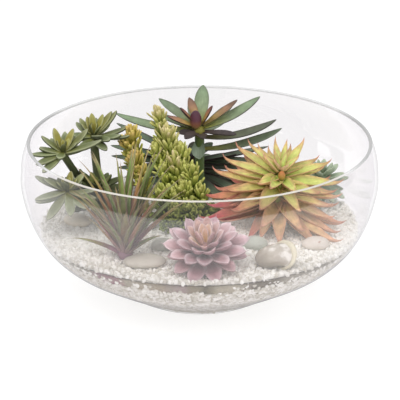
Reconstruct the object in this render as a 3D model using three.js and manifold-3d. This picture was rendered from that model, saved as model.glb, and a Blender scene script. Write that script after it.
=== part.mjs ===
// Glass bowl terrarium with artificial succulents: a wide clear bowl, loose white gravel under a foam disc
// that holds the stems, a skin of gravel on the disc, five pebbles, a moon shell and nine kinds of plant.
// Millimetres, +Z up. The origin is under the middle of the bowl's foot, and the front faces -Y.
import * as THREE from 'three';
import { mergeVertices } from 'three/addons/utils/BufferGeometryUtils.js';
import Module from 'manifold-3d';

const wasm = await Module();
wasm.setup();

// ---------------------------------------------------------------- driving sizes
const GAP = 0.3; // air between two pieces that touch
const AROUND = 36; // straight sides round the bowl and its filling
const WALL = 3.2; // thickness of the blown glass
const FLOOR = 5.6; // thickness of the glass under the gravel
const FOOT_EASE = 1.2; // rounded edge of the foot

// Outside of the bowl from foot to rim, as radius and height: 305 wide, 141.6 tall.
const BOWL_OUTSIDE = [
  [50.7, 1.2], [60.6, 5.7], [75.3, 14.2], [95.5, 25.5], [118.7, 39.7], [135.4, 56.7],
  [146.2, 77.9], [151.8, 99.1], [152.3, 112], [150.7, 127], [146.4, 140.6],
];

const FOAM_BOTTOM = 54.2; // underside of the foam at the glass
const FOAM_BLOCK = { radius: 104, bottom: 38 }; // its deeper middle, which holds the stems
const FOAM_TOP = 59.6;
const GRAVEL_EDGE = 61.4; // top of the gravel skin at the glass
const GRAVEL_MOUND = 1.6; // how much higher the skin is in the middle
const GRAVEL_RELIEF = 1.5; // bumps of the chips on it
const STEM_FOOT = 42; // the stems are pushed into the foam down to this height
const STALK_BULGE = 0.1; // how far a stalk's bend swings out below its collar

// ---------------------------------------------------------------- solids
const terrarium = new THREE.Group();

// A closed geometry as a solid that can be joined and cut.
function solid(geometry) {
  const bare = geometry.index ? geometry.toNonIndexed() : geometry.clone();
  bare.deleteAttribute('normal');
  bare.deleteAttribute('uv');
  const merged = mergeVertices(bare, 1e-4);
  const corners = merged.index.array;
  const kept = [];
  for (let i = 0; i < corners.length; i += 3) {
    const [a, b, c] = [corners[i], corners[i + 1], corners[i + 2]];
    if (a !== b && b !== c && c !== a) kept.push(a, b, c);
  }
  const vertProperties = merged.attributes.position.array;
  return new wasm.Manifold(new wasm.Mesh({ numProp: 3, vertProperties, triVerts: new Uint32Array(kept) }));
}

// The largest body of a solid, with the pockets that joining sealed filled in and loose scraps dropped.
function wholeBody(joined) {
  const bodies = joined.simplify(0.08).decompose();
  return bodies.reduce((most, body) => (body.volume() > most.volume() ? body : most));
}

function fuse(solids) {
  return wholeBody(wasm.Manifold.union(solids));
}

// Adds a solid to the terrarium as a named mesh with its own material.
function place(name, made, color, roughness, opacity = 1) {
  const { vertProperties, triVerts } = made.getMesh();
  const geometry = new THREE.BufferGeometry();
  geometry.setAttribute('position', new THREE.BufferAttribute(new Float32Array(vertProperties), 3));
  geometry.setIndex(new THREE.BufferAttribute(new Uint32Array(triVerts), 1));
  geometry.computeVertexNormals();
  const look = { color, roughness, metalness: 0, opacity, transparent: opacity < 1 };
  const mesh = new THREE.Mesh(geometry, new THREE.MeshStandardMaterial(look));
  mesh.name = name;
  terrarium.add(mesh);
}

// A repeatable draw between 0 and 1 for item n of the thing with this seed.
function draw(seed, n) {
  const wave = Math.sin(seed * 127.1 + n * 311.7) * 43758.5453;
  return wave - Math.floor(wave);
}

// A closed solid through rings of points; each ring has as many points as the last, and the end is one tip.
function loft(rings, tip) {
  const sides = rings[0].length;
  const points = rings.flat();
  const faces = [];
  for (let side = 1; side < sides - 1; side += 1) faces.push(0, side + 1, side);
  for (let ring = 0; ring < rings.length - 1; ring += 1) {
    for (let side = 0; side < sides; side += 1) {
      const here = ring * sides + side;
      const next = ring * sides + ((side + 1) % sides);
      faces.push(here, next, next + sides, here, next + sides, here + sides);
    }
  }
  const last = (rings.length - 1) * sides;
  const end = points.push(tip) - 1;
  for (let side = 0; side < sides; side += 1) faces.push(last + side, last + ((side + 1) % sides), end);
  const geometry = new THREE.BufferGeometry().setFromPoints(points);
  geometry.setIndex(faces);
  return solid(geometry);
}

// A turned solid from radius and height pairs that start and end on the axis.
function turned(profile) {
  const outline = profile.map(([radius, height]) => new THREE.Vector2(radius, height));
  return solid(new THREE.LatheGeometry(outline, AROUND).rotateX(Math.PI / 2));
}

// An egg shape with three radii, turned about Z by spin degrees and moved to its centre.
function egg(centre, radii, spin = 0, sides = 6, rings = 4) {
  const geometry = new THREE.SphereGeometry(1, sides, rings).rotateX(Math.PI / 2);
  geometry.scale(...radii).rotateZ(THREE.MathUtils.degToRad(spin)).translate(...centre);
  return solid(geometry);
}

// A round stalk along a smooth line through the given points.
function stalk(route, radius, steps = 4, sides = 6) {
  const line = new THREE.CatmullRomCurve3(route.map((point) => new THREE.Vector3(...point)));
  const section = new THREE.Shape(
    Array.from({ length: sides }, (_, side) => {
      const angle = (side / sides) * 2 * Math.PI;
      return new THREE.Vector2(radius * Math.cos(angle), radius * Math.sin(angle));
    }),
  );
  return solid(new THREE.ExtrudeGeometry(section, { steps, bevelEnabled: false, extrudePath: line }));
}

// ---------------------------------------------------------------- bowl and filling
// Evenly spaced points of the bowl's outside, moved inwards along its normal by depth.
function wallLine(depth, count) {
  const line = new THREE.SplineCurve(BOWL_OUTSIDE.map((point) => new THREE.Vector2(...point)));
  return Array.from({ length: count + 1 }, (_, i) => {
    const at = line.getPoint(i / count);
    const along = line.getTangent(i / count);
    return [at.x - along.y * depth, at.y + along.x * depth];
  });
}

// Radius at a height on a line of radius and height pairs that rises all the way.
function radiusAt(line, height) {
  const above = line.findIndex(([, z]) => z >= height);
  const [r0, z0] = line[above - 1];
  const [r1, z1] = line[above];
  return r0 + ((r1 - r0) * (height - z0)) / (z1 - z0);
}

const WALL_STEPS = 9;
const outside = wallLine(0, WALL_STEPS);
const inside = wallLine(WALL, WALL_STEPS);
const fillLine = wallLine(WALL + GAP, WALL_STEPS);

function glassBowl() {
  const cavity = inside.filter(([, height]) => height > FLOOR + 1);
  const floorRadius = radiusAt(inside, FLOOR);
  const rim = [outside.at(-1)[0] - WALL / 2 + 0.2, outside.at(-1)[1] + WALL * 0.32];
  return turned([
    [0, 0],
    [outside[0][0] - FOOT_EASE, 0],
    ...outside,
    rim,
    ...cavity.reverse(),
    [floorRadius, FLOOR],
    [0, FLOOR],
  ]);
}

// The side of a filling between two heights, which follows the glass with the gap.
function fillSide(bottom, top) {
  const between = fillLine.filter(([, height]) => height > bottom + 0.2 && height < top - 0.2);
  return [[radiusAt(fillLine, bottom), bottom], ...between, [radiusAt(fillLine, top), top]];
}

function looseGravel() {
  const top = FOAM_BOTTOM - GAP;
  const bottom = FOAM_BLOCK.bottom - GAP;
  const pit = FOAM_BLOCK.radius + GAP;
  return turned([[0, FLOOR + GAP], ...fillSide(FLOOR + GAP, top), [pit, top], [pit, bottom], [0, bottom]]);
}

function foam() {
  const { radius, bottom } = FOAM_BLOCK;
  const block = [[0, bottom], [radius, bottom], [radius, FOAM_BOTTOM]];
  return turned([...block, ...fillSide(FOAM_BOTTOM, FOAM_TOP), [0, FOAM_TOP]]);
}

// The gravel skin: a disc whose top is a polar net of chips, higher in the middle and level at the glass.
function gravelSkin() {
  const rings = 8;
  const bottom = FOAM_TOP + GAP;
  const edge = radiusAt(fillLine, bottom);
  const points = [new THREE.Vector3(0, 0, bottom), new THREE.Vector3(0, 0, GRAVEL_EDGE + GRAVEL_MOUND)];
  for (let side = 0; side < AROUND; side += 1) {
    const angle = (side / AROUND) * 2 * Math.PI;
    const [x, y] = [Math.sin(angle), Math.cos(angle)];
    const at = (radius, height) => new THREE.Vector3(radius * x, radius * y, height);
    points.push(at(edge, bottom));
    for (let ring = 1; ring <= rings; ring += 1) {
      const share = ring / rings;
      const bump = GRAVEL_RELIEF * draw(3, side * rings + ring) * (share < 1 ? 1 : 0);
      points.push(at(edge * share, GRAVEL_EDGE + GRAVEL_MOUND * (1 - share ** 2) + bump));
    }
  }
  const faces = [];
  const stride = rings + 1;
  for (let side = 0; side < AROUND; side += 1) {
    const here = 2 + side * stride;
    const next = 2 + ((side + 1) % AROUND) * stride;
    faces.push(0, here, next, 1, next + 1, here + 1);
    for (let ring = 1; ring < rings; ring += 1) {
      faces.push(here + ring, next + ring, next + ring + 1, here + ring, next + ring + 1, here + ring + 1);
    }
    faces.push(here, here + rings, next + rings, here, next + rings, next);
  }
  const geometry = new THREE.BufferGeometry().setFromPoints(points);
  geometry.setIndex(faces);
  return solid(geometry);
}

// ---------------------------------------------------------------- stones
// Pebbles as centre, three radii and turn about Z.
const PEBBLES = {
  pebble_white: { centre: [-45, -89, 66.2], radii: [17.5, 12, 5.2], spin: 4, color: 0xe4e0d4 },
  pebble_pale_green: { centre: [-31, -55, 66.5], radii: [9.5, 8, 5.5], spin: 20, color: 0xc4c9ba },
  pebble_grey_green: { centre: [47, -52, 66.8], radii: [11, 9, 6.2], spin: -15, color: 0xb3bcae },
  pebble_tan: { centre: [99, -50, 66], radii: [13.5, 10, 5.2], spin: 12, color: 0xcdbfae },
  pebble_beige: { centre: [-105, 2, 66.2], radii: [12.5, 9.5, 5.6], spin: -25, color: 0xd6c6a6 },
};

function pebble({ centre, radii, spin }, grow = 0) {
  return egg(centre, radii.map((radius) => radius + grow), spin, 10, 6);
}

// A moon shell lying on its mouth: a round body whorl, two smaller whorls at its spire and a thick lip.
const SHELL = [62, -91, 73];

function moonShell(grow = 0) {
  const [x, y, z] = SHELL;
  return fuse([
    egg([x - 1.5, y, z], [16 + grow, 13.5 + grow, 11.8 + grow], 10, 10, 6),
    egg([x + 9, y + 2, z + 6], [7.2 + grow, 7 + grow, 6.2 + grow], 0, 8, 5),
    egg([x + 12.8, y + 3, z + 8.8], [3.6 + grow, 3.6 + grow, 3.4 + grow], 0, 6, 4),
    egg([x + 11.5, y - 4, z - 2], [5 + grow, 6.5 + grow, 9 + grow], 20, 8, 5),
  ]);
}

// ---------------------------------------------------------------- leaves
// How each kind of leaf is shaped: width of the root, how fast it widens and narrows, thickness and cup.
const LEAF = {
  lance: { root: 0.6, rise: 0.9, fall: 0.65, thick: 1.9, cup: 0.28, stations: [0, 0.4, 0.8] },
  claw: { root: 0.7, rise: 0.55, fall: 0.85, thick: 4.2, cup: 0.35, stations: [0, 0.35, 0.7] },
  finger: { root: 0.4, rise: 0.9, fall: 0.5, thick: 4.2, cup: 0.1, stations: [0, 0.66] },
  petal: { root: 0.35, rise: 1.2, fall: 0.42, thick: 3.6, cup: 0.3, stations: [0, 0.5, 0.9] },
  blade: { root: 0.9, rise: 0.15, fall: 0.9, thick: 1.6, cup: 0.35, stations: [0, 0.45, 0.85] },
  needle: { root: 0.95, rise: 0.3, fall: 0.5, thick: 2.6, cup: 0.1, stations: [0] },
};

function widthShare({ root, rise, fall }, t) {
  const peak = rise / (rise + fall);
  const hump = (t / peak) ** rise * ((1 - t) / (1 - peak)) ** fall;
  const stem = root * (1 - t) ** 2;
  return stem + (1 - stem) * hump;
}

// The leaves' upper faces are turned a little to the viewer, the more the further they point sideways.
const FRONT = THREE.MathUtils.degToRad(-90);
const FACE_TURN = THREE.MathUtils.degToRad(32);

// Axes of a head that leans by tilt degrees towards azimuth degrees.
function leaning(azimuth = 0, tilt = 0) {
  const [turn, lean] = [azimuth, tilt].map(THREE.MathUtils.degToRad);
  const up = new THREE.Vector3().setFromSphericalCoords(1, lean, 0);
  up.set(up.z * Math.cos(turn), up.z * Math.sin(turn), up.y);
  const leant = new THREE.Quaternion().setFromUnitVectors(new THREE.Vector3(0, 0, 1), up);
  return {
    x: new THREE.Vector3(1, 0, 0).applyQuaternion(leant),
    y: new THREE.Vector3(0, 1, 0).applyQuaternion(leant),
    z: up,
  };
}

// The sum of two directions, each by its amount.
function mixed(first, much, second, more) {
  return first.clone().multiplyScalar(much).addScaledVector(second, more);
}

// One leaf: a lens section carried along an even arc that leaves the root at azimuth and elevation degrees
// and has turned upwards by bend degrees at the tip. Needles and blades have three corners, other leaves four.
function leaf(kind, root, axes, { azimuth, elevation, bend, length, width, start = 0 }) {
  const form = LEAF[kind];
  const [turn, rise, curl] = [azimuth, elevation, bend].map(THREE.MathUtils.degToRad);
  const outward = mixed(axes.x, Math.cos(turn), axes.y, Math.sin(turn));
  const level = mixed(axes.x, -Math.sin(turn), axes.y, Math.cos(turn));
  const roll = -FACE_TURN * Math.sin(turn - FRONT) * Math.cos(rise);
  const along = (t) => {
    const reached = rise + curl * t;
    const far = (length * (Math.sin(reached) - Math.sin(rise))) / curl + start;
    const high = (length * (Math.cos(rise) - Math.cos(reached))) / curl;
    return root.clone().addScaledVector(outward, far).addScaledVector(axes.z, high);
  };
  const rings = form.stations.map((t) => {
    const reached = rise + curl * t;
    const upright = mixed(axes.z, Math.cos(reached), outward, -Math.sin(reached));
    const sideways = mixed(level, Math.cos(roll), upright, -Math.sin(roll));
    const normal = mixed(upright, Math.cos(roll), level, Math.sin(roll));
    const share = widthShare(form, t);
    const half = (width * share) / 2;
    const deep = (Math.min(form.thick, 0.55 * width) * Math.sqrt(share)) / 2;
    const corner = (x, y) => along(t).addScaledVector(sideways, x).addScaledVector(normal, y);
    const lift = form.cup * half;
    const narrow = kind === 'needle' || kind === 'blade';
    if (narrow) return [corner(-half, deep * 0.4), corner(0, -deep), corner(half, deep * 0.4)];
    return [corner(-half, lift), corner(0, -deep), corner(half, lift), corner(0, deep)];
  });
  return loft(rings, along(1));
}

// Leaves of one head from rows of height on the axis, azimuth, elevation, bend, length and width.
// Their roots lie inside the core, further out the flatter the leaf.
function leavesFromRows(kind, centre, axes, rows, core) {
  return rows.map(([height, azimuth, elevation, bend, length, width]) => {
    const root = new THREE.Vector3(...centre).addScaledVector(axes.z, height);
    const start = core * Math.cos(THREE.MathUtils.degToRad(elevation));
    return leaf(kind, root, axes, { azimuth, elevation, bend, length: length - start, width, start });
  });
}

// ---------------------------------------------------------------- plants
const GOLDEN_ANGLE = 137.508;
const COLLAR = GRAVEL_EDGE + 7; // height up to which every stalk is straight

// A stalk pushed straight into the filling at its foot and bent to its head.
function standing(foot, head, radius) {
  const [x, y] = foot;
  return stalk([[x, y, STEM_FOOT], [x, y, FOAM_TOP], [x, y, COLLAR], head], radius, 4);
}

// The plain hole that such a stalk stands in.
function plainHole({ foot, stem }) {
  const [x, y] = foot;
  return stalk([[x, y, STEM_FOOT - GAP], [x, y, COLLAR]], stem + GAP + STALK_BULGE, 1);
}

// Rows of a rosette by the rule of the golden angle: from the lowest, longest leaf to the innermost.
function rosetteRows({ count, first, height, elevation, bend, length, width }) {
  const between = ([from, to], share) => from + (to - from) * share;
  return Array.from({ length: count }, (_, i) => {
    const share = i / (count - 1);
    return [
      between(height, share),
      first + i * GOLDEN_ANGLE,
      between(elevation, share ** 1.15),
      bend,
      between(length, share ** 1.2),
      between(width, share ** 1.2),
    ];
  });
}

// Tall rosette at the back: long lance leaves in three tiers round a dark bud.
const TALL = { centre: [0, 60, 130], foot: [0, 60], stem: 4.2 };
const TALL_LEAVES = [
  [1, 88, 32, 8, 46, 13], [0, 150, 26, 6, 46, 11], [-2, 173, 7, 8, 77, 11], [0, 6, 19, 16, 59, 12],
  [2, 3, 36, 4, 38, 6], [-3, -7, 0, 20, 72, 10], [-10, -2, 3, 10, 74, 10], [-3, -41, 0, 6, 39, 9],
  [1, -171, 20, 8, 30, 8], [-3, -122, -2, 6, 25, 9], [-4, -82, 2, 8, 30, 9.5], [3, 196, 46, 6, 26, 6.5],
  [3, 124, 48, 6, 27, 9.5], [3, 5, 58, 8, 21, 6.5], [-4, 96, 9, 10, 54, 11.5], [-6, 120, -4, 10, 48, 10.5],
  [-6, 60, -6, 8, 50, 10.5],
];

// Dark rosette low behind the sedum; its leaves leave room for the tall rosette's stem in front of it.
const DARK = { centre: [-8, 88, 88], foot: [-8, 88], stem: 3.6 };
const DARK_LEAVES = [
  [3, 174, 24, 4, 74, 10], [1, 181, 9, 6, 73, 10.5], [-1, 188, 5, 6, 72, 10], [-3, 199, 0, 6, 67, 10],
  [1, -9, 10, 5, 43, 10], [-1, -11, 5, 6, 60, 10], [0, 1, 8, 6, 71, 9.5], [-3, 62, -8, 8, 38, 10],
  [-3, 92, -6, 8, 42, 10.5], [-3, 122, -6, 8, 42, 10.5], [3, 30, 30, 6, 30, 9], [3, 150, 34, 6, 30, 9],
  [4, 80, 52, 6, 26, 8], [3, -50, 50, 6, 20, 7], [3, 220, 50, 6, 22, 7],
];

// Left succulent: four heads of finger leaves on one branching stem.
const LEFT_HEADS = {
  left_head_wall: {
    centre: [-116, 0, 129], core: 4.2, color: 0x87904f,
    rows: [
      [1, 143, 60, 8, 22, 7], [1, 167, 32, 8, 23, 7], [0, 197, 14, 8, 22, 7], [0, 205, 1, 6, 29, 7.5],
      [-1, 222, -8, 6, 31, 7.5], [-1, -124, -20, 6, 31, 7.5], [-1, -62, -21, 6, 32, 9], [0, -8, 17, 8, 36, 8],
      [1, 20, 34, 8, 29, 7], [1, 50, 54, 8, 22, 6.5], [0, 82, 24, 8, 25, 7], [0, 118, 12, 8, 23, 7],
    ],
  },
  left_head_back: {
    centre: [-92, 41, 130], core: 4, color: 0x7f894f,
    rows: [
      [1, 95, 66, 6, 19, 6], [1, 42, 52, 6, 20, 6], [1, 26, 44, 8, 26, 7], [0, 16, 40, 10, 30, 7.5],
      [-1, -20, 1, 14, 35, 7], [-1, -47, 4, 8, 25, 7], [0, -75, 14, 8, 22, 7], [1, 125, 56, 6, 17, 6],
      [0, 150, 38, 8, 20, 6.5], [-1, 90, 14, 8, 27, 7], [-1, 58, 12, 8, 26, 7], [-1, 128, 10, 8, 26, 7],
      [-1, 188, 6, 8, 20, 7],
    ],
  },
  left_head_low: {
    centre: [-112, -18, 101], core: 4.2, color: 0x8a9360,
    rows: [
      [1, 174, 20, 8, 30, 7.5], [1, 196, 30, 6, 24, 7], [0, 208, -8, 6, 31, 8], [-1, -124, -34, 6, 34, 8],
      [-1, -76, -30, 6, 29, 8], [0, -30, -9, 6, 28, 8], [1, 24, 38, 8, 21, 7], [1, 66, 58, 6, 17, 6],
      [0, 108, 6, 8, 23, 7], [0, 60, 2, 8, 22, 7], [0, 142, 12, 8, 24, 7], [2, -100, 40, 8, 17, 6],
    ],
  },
  left_head_inner: {
    centre: [-88, 6, 92], core: 3.8, color: 0x4c5638,
    rows: [
      [0, -90, -6, 8, 22, 7], [0, -35, 4, 8, 24, 7.5], [0, 15, 0, 8, 23, 7.5], [0, 150, 10, 8, 20, 7],
      [1, 200, 32, 8, 17, 6.5], [1, -62, 40, 8, 20, 6.5], [1, -10, 48, 8, 20, 6.5], [1, 55, 30, 8, 20, 7],
      [1, 120, 52, 6, 17, 6],
    ],
  },
};
const LEFT_STEM = { foot: [-86, 30], stem: 4 };

// Sedum: two stems that branch low down into needle-leaved shoots, given as the shoot's first point, its top,
// its number of needles and their length.
const SEDUM = {
  sedum_green: {
    foot: [-16, 14], stem: 3, color: 0x9aaa4a,
    shoots: [
      [[-20, 20, 84], [-27, 28, 143], 21, 11.5], [[-11, 15, 82], [-11, 22, 131], 18, 11.5],
      [[-27, 33, 104], [-36, 46, 155], 16, 10], [[-31, 22, 104], [-43, 25, 130], 8, 10],
      [[-3, 6, 80], [-1, 8, 118], 14, 10.5], [[5, -3, 78], [6, -4, 101], 8, 9.5],
      [[-21, 2, 74], [-25, -7, 99], 10, 10.5], [[-7, -6, 72], [-8, -16, 90], 8, 10],
      [[-32, 8, 74], [-40, 1, 95], 8, 10],
    ],
  },
  sedum_gold: {
    foot: [-48, 30], stem: 3, color: 0xb59a3a,
    shoots: [[[-52, 36, 96], [-61, 36, 138], 15, 10.5], [[-51, 24, 88], [-58, 19, 122], 13, 10.5]],
  },
};

// Air plant: thin blades as azimuth, elevation, bend, length and width.
const AIR_PLANT = { centre: [-62, -77, 66], foot: [-62, -77], stem: 3 };
const AIR_BLADES = [
  [0, 138, 72, -20, 93, 5], [0, 124, 68, -18, 91, 5], [0, 171, 65, -24, 72, 6], [0, 149, 62, -20, 74, 5],
  [0, 56, 71, -12, 98, 6], [0, 33, 75, -14, 93, 5], [0, 70, 77, -10, 84, 5], [0, 93, 78, -10, 94, 6],
  [0, 7, 70, -18, 75, 5], [0, 13, 59, -16, 76, 5], [0, 5, 52, -16, 78, 4.5], [0, 163, 27, -22, 49, 4],
  [0, -93, 75, -14, 53, 9], [0, -24, 46, -18, 44, 6], [0, -172, 69, -18, 65, 6], [0, 104, 62, -16, 79, 6],
  [0, 72, 56, -16, 68, 6], [0, -146, 66, -18, 51, 6.5],
];

// Large spiky rosette on the right: four tiers of hooked leaves up a leaning stem, with a small orange bud.
const SPIKY = { centre: [67, -1, 92], foot: [62, -2], stem: 4.6 };
const SPIKY_LEAVES = [
  [19, 112, 52, 8, 38, 9], [18, 147, 36, 8, 44, 9], [17, 161, 24, 8, 52, 9.5],
  [18, 46, 50, 8, 40, 12], [20, 84, 54, 4, 31, 8], [17, 26, 26, 8, 42, 10], [16, 14, 21, 8, 48, 10],
  [12, -9, 0, 8, 60, 11], [15, 172, 12, 10, 57, 10.5], [11, 184, 2, 10, 62, 11],
  [6, 196, -8, 12, 62, 11.5], [3, -171, -8, 10, 60, 11], [13, -100, 2, 8, 32, 11],
  [12, -52, 4, 8, 38, 10], [13, -145, 8, 8, 40, 10], [8, -20, -4, 8, 58, 10.5],
  [0, -116, -12, 16, 39, 12], [-1, -137, -14, 14, 50, 12], [2, -57, -12, 8, 40, 10],
  [-2, -88, -10, 14, 34, 12], [-12, -12, -4, 8, 66, 11], [-15, -28, -10, 6, 68, 11.5],
  [-14, -75, -10, 6, 46, 12], [-15, -128, -10, 6, 50, 11.5], [-12, 188, 0, 4, 64, 11.5],
  [-14, -50, -8, 6, 58, 11], [-10, 160, 4, 8, 50, 10], [-8, 130, 6, 8, 44, 10.5],
  [-6, 102, 8, 8, 44, 10.5], [-8, 72, 6, 8, 42, 10.5], [-10, 12, 2, 8, 50, 10.5],
  [4, 118, 18, 8, 44, 10.5], [5, 88, 20, 8, 44, 10.5], [4, 60, 18, 8, 42, 10.5], [2, 38, 8, 8, 38, 10],
];

// Pink rosette at the front, leaning to the viewer; small grey-green rosette at the back right.
const PINK = { centre: [3, -92, 78], foot: [3, -86], leans: [-90, 18], stem: 3 };
const PINK_LEAVES = rosetteRows({
  count: 28, first: -96, height: [-2, 4], elevation: [-5, 76], bend: 14, length: [39, 15], width: [15.5, 7],
});
const GREY = { centre: [107, 52, 88], foot: [89, 42], leans: [20, 8], stem: 2.6 };
const GREY_LEAVES = rosetteRows({
  count: 17, first: 10, height: [-3, 3], elevation: [4, 70], bend: 10, length: [25, 12], width: [8.5, 5],
});

const STALKS = [TALL, DARK, LEFT_STEM, SEDUM.sedum_green, SEDUM.sedum_gold, AIR_PLANT, SPIKY, PINK, GREY];

// ---------------------------------------------------------------- making the plants
// Core, stalk and leaves of one rosette, to be fused.
function rosette({ centre, foot, leans = [0, 0], stem }, kind, rows, coreRadii) {
  return [
    egg(centre, coreRadii),
    standing(foot, centre, stem),
    ...leavesFromRows(kind, centre, leaning(...leans), rows, 0.55 * coreRadii[0]),
  ];
}

// One sedum shoot: a slim stalk from the crown, with needles round it by the golden angle, steeper at the top.
function shoot(foot, [first, top, count, reach], seed) {
  const start = new THREE.Vector3(...first);
  const line = new THREE.Vector3(...top).sub(start);
  const run = line.length() - reach * 0.8;
  line.normalize();
  const tilt = THREE.MathUtils.radToDeg(Math.acos(line.z));
  const axes = leaning(THREE.MathUtils.radToDeg(Math.atan2(line.y, line.x)), tilt);
  const end = start.clone().addScaledVector(line, run);
  const needles = Array.from({ length: count }, (_, i) => {
    const share = i / (count - 1);
    const root = start.clone().addScaledVector(line, run * share);
    const settings = {
      azimuth: seed * 40 + i * GOLDEN_ANGLE,
      elevation: 18 + 56 * share ** 2.2,
      bend: 22,
      length: reach * (1.15 - 0.25 * share),
      width: 3.6,
      start: 1.5,
    };
    return leaf('needle', root, axes, settings);
  });
  const branch = stalk([[...foot, COLLAR + 0.6], first], 2.2, 1, 5);
  const joint = start.clone().addScaledVector(line, -2);
  return [branch, stalk([joint.toArray(), end.toArray()], 2.6, 1, 5), ...needles];
}

function sedum({ foot, stem, shoots }) {
  const stalkTop = [...foot, COLLAR + 2];
  const crown = egg([...foot, COLLAR], [4.6, 4.6, 4.2]);
  return fuse([crown, standing(foot, stalkTop, stem), ...shoots.flatMap((row, i) => shoot(foot, row, i))]);
}

// The tall rosette's stalk ends in its head's core, and carries a pale flap of a leaf below it.
function tallStem(grow = 0) {
  const [x, y, z] = TALL.centre;
  const top = [x, y, z - 6];
  const flap = { azimuth: -84, elevation: -50, bend: -12, length: 18, width: 11.5, start: 1 };
  const core = standing(TALL.foot, top, TALL.stem + grow);
  if (grow) return core;
  return fuse([core, leaf('lance', new THREE.Vector3(x, y, z - 15), leaning(), flap)]);
}

function tallBud(grow = 0) {
  const [x, y, z] = TALL.centre;
  return egg([x - 2.5, y - 1, z + 9.5], [5.6 + grow, 5.6 + grow, 7.4 + grow], 0, 8, 5);
}

function tallHead() {
  const [x, y, z] = TALL.centre;
  const core = egg([x, y, z - 3], [7, 7, 9]);
  const whole = fuse([core, ...leavesFromRows('lance', TALL.centre, leaning(), TALL_LEAVES, 4)]);
  return wholeBody(whole.subtract(tallBud(GAP)).subtract(tallStem(GAP)));
}

// Left succulent's stem: a trunk to the back head with a branch to each of the other three.
function leftStem(grow = 0) {
  const { foot, stem } = LEFT_STEM;
  const [x, y] = foot;
  const [wall, back, low, inner] = Object.values(LEFT_HEADS).map(({ centre }) => centre);
  const trunk = standing(foot, [back[0], back[1], back[2] - 2], stem + grow);
  const branch = (height, middle, end, radius) => stalk([[x, y, height], middle, end], radius + grow, 5);
  return fuse([
    trunk,
    branch(72, [-103, 14, 100], [wall[0], wall[1], wall[2] - 2], 3.2),
    branch(70, [-101, 4, 84], [low[0], low[1], low[2] - 2], 3),
    branch(69, [-88, 14, 80], [inner[0], inner[1], inner[2] - 2], 2.8),
  ]);
}

function leftHead({ centre, core, rows }) {
  const middle = egg(centre, [core, core, core * 1.2]);
  return fuse([middle, ...leavesFromRows('finger', centre, leaning(), rows, 2.4)]);
}

function spikyBud(grow = 0) {
  const [x, y, z] = SPIKY.centre;
  return egg([x + 3, y - 5, z + 22], [2.8 + grow, 2.8 + grow, 4 + grow], 0, 7, 6);
}

function spikyHead() {
  const { centre, foot, stem } = SPIKY;
  const [x, y, z] = centre;
  const axes = leaning(27, 8);
  const column = stalk([[foot[0], foot[1], z - 24], [x - 2, y - 1, z - 12], [x + 2, y + 1, z + 17]], 6.5, 2);
  const leaves = leavesFromRows('claw', centre, axes, SPIKY_LEAVES, 4);
  return wholeBody(fuse([standing(foot, centre, stem), column, ...leaves]).subtract(spikyBud(GAP)));
}

function airPlant() {
  const { centre, foot, stem } = AIR_PLANT;
  const [x, y, z] = centre;
  const crown = egg([x, y, z + 3], [5, 5, 5]);
  const blades = leavesFromRows('blade', centre, leaning(), AIR_BLADES, 2.5);
  return fuse([crown, standing(foot, [x, y, COLLAR + 1.5], stem), ...blades]);
}

// ---------------------------------------------------------------- the arrangement
place('glass_bowl', glassBowl(), 0xe9eeec, 0.04, 0.35);

place('tall_head', tallHead(), 0x6f8d6f, 0.5);
place('tall_bud', tallBud(), 0x5a3440, 0.45);
place('tall_stem', tallStem(), 0x4f6a3c, 0.55);
place('dark_rosette', fuse(rosette(DARK, 'lance', DARK_LEAVES, [6.5, 6.5, 8])), 0x3d4f45, 0.5);

for (const [name, plant] of Object.entries(SEDUM)) place(name, sedum(plant), plant.color, 0.55);

const stemRoom = leftStem(GAP);
place('left_stem', leftStem(), 0x4a5236, 0.6);
for (const [name, head] of Object.entries(LEFT_HEADS)) {
  place(name, wholeBody(leftHead(head).subtract(stemRoom)), head.color, 0.55);
}

place('air_plant', airPlant(), 0x7d8066, 0.6);
place('spiky_head', spikyHead(), 0xb5bd58, 0.5);
place('spiky_bud', spikyBud(), 0xc98a3c, 0.5);
place('pink_rosette', fuse(rosette(PINK, 'petal', PINK_LEAVES, [7, 7, 7])), 0xc9a7ac, 0.55);
place('grey_rosette', fuse(rosette(GREY, 'finger', GREY_LEAVES, [5, 5, 5])), 0x7f9a88, 0.55);

const stemHoles = wasm.Manifold.union(STALKS.map(plainHole));
place('gravel_fill', looseGravel(), 0xe8e6e0, 0.9);
place('planting_foam', wholeBody(foam().subtract(stemHoles)), 0x9a8f78, 0.95);

const pebbleSeats = Object.values(PEBBLES).map((stone) => pebble(stone, GAP));
const sunk = wasm.Manifold.union([stemHoles, ...pebbleSeats, moonShell(GAP)]);
place('gravel_top', wholeBody(gravelSkin().subtract(sunk)), 0xefede8, 0.9);
for (const [name, stone] of Object.entries(PEBBLES)) place(name, pebble(stone), stone.color, 0.4);
place('moon_shell', moonShell(), 0xe9e2d4, 0.3);

export default terrarium;
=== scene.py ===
"""Looks of a glass bowl terrarium with artificial succulents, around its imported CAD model.

Sizes are in millimetres until a mesh is made. +Z is up and the front of the arrangement faces -Y. Every
surface is worked out with numpy: leaves are sections carried along arcs, the bowl and its filling are turned
profiles, and the gravel is thousands of jittered twenty-sided stones.
"""

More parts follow.
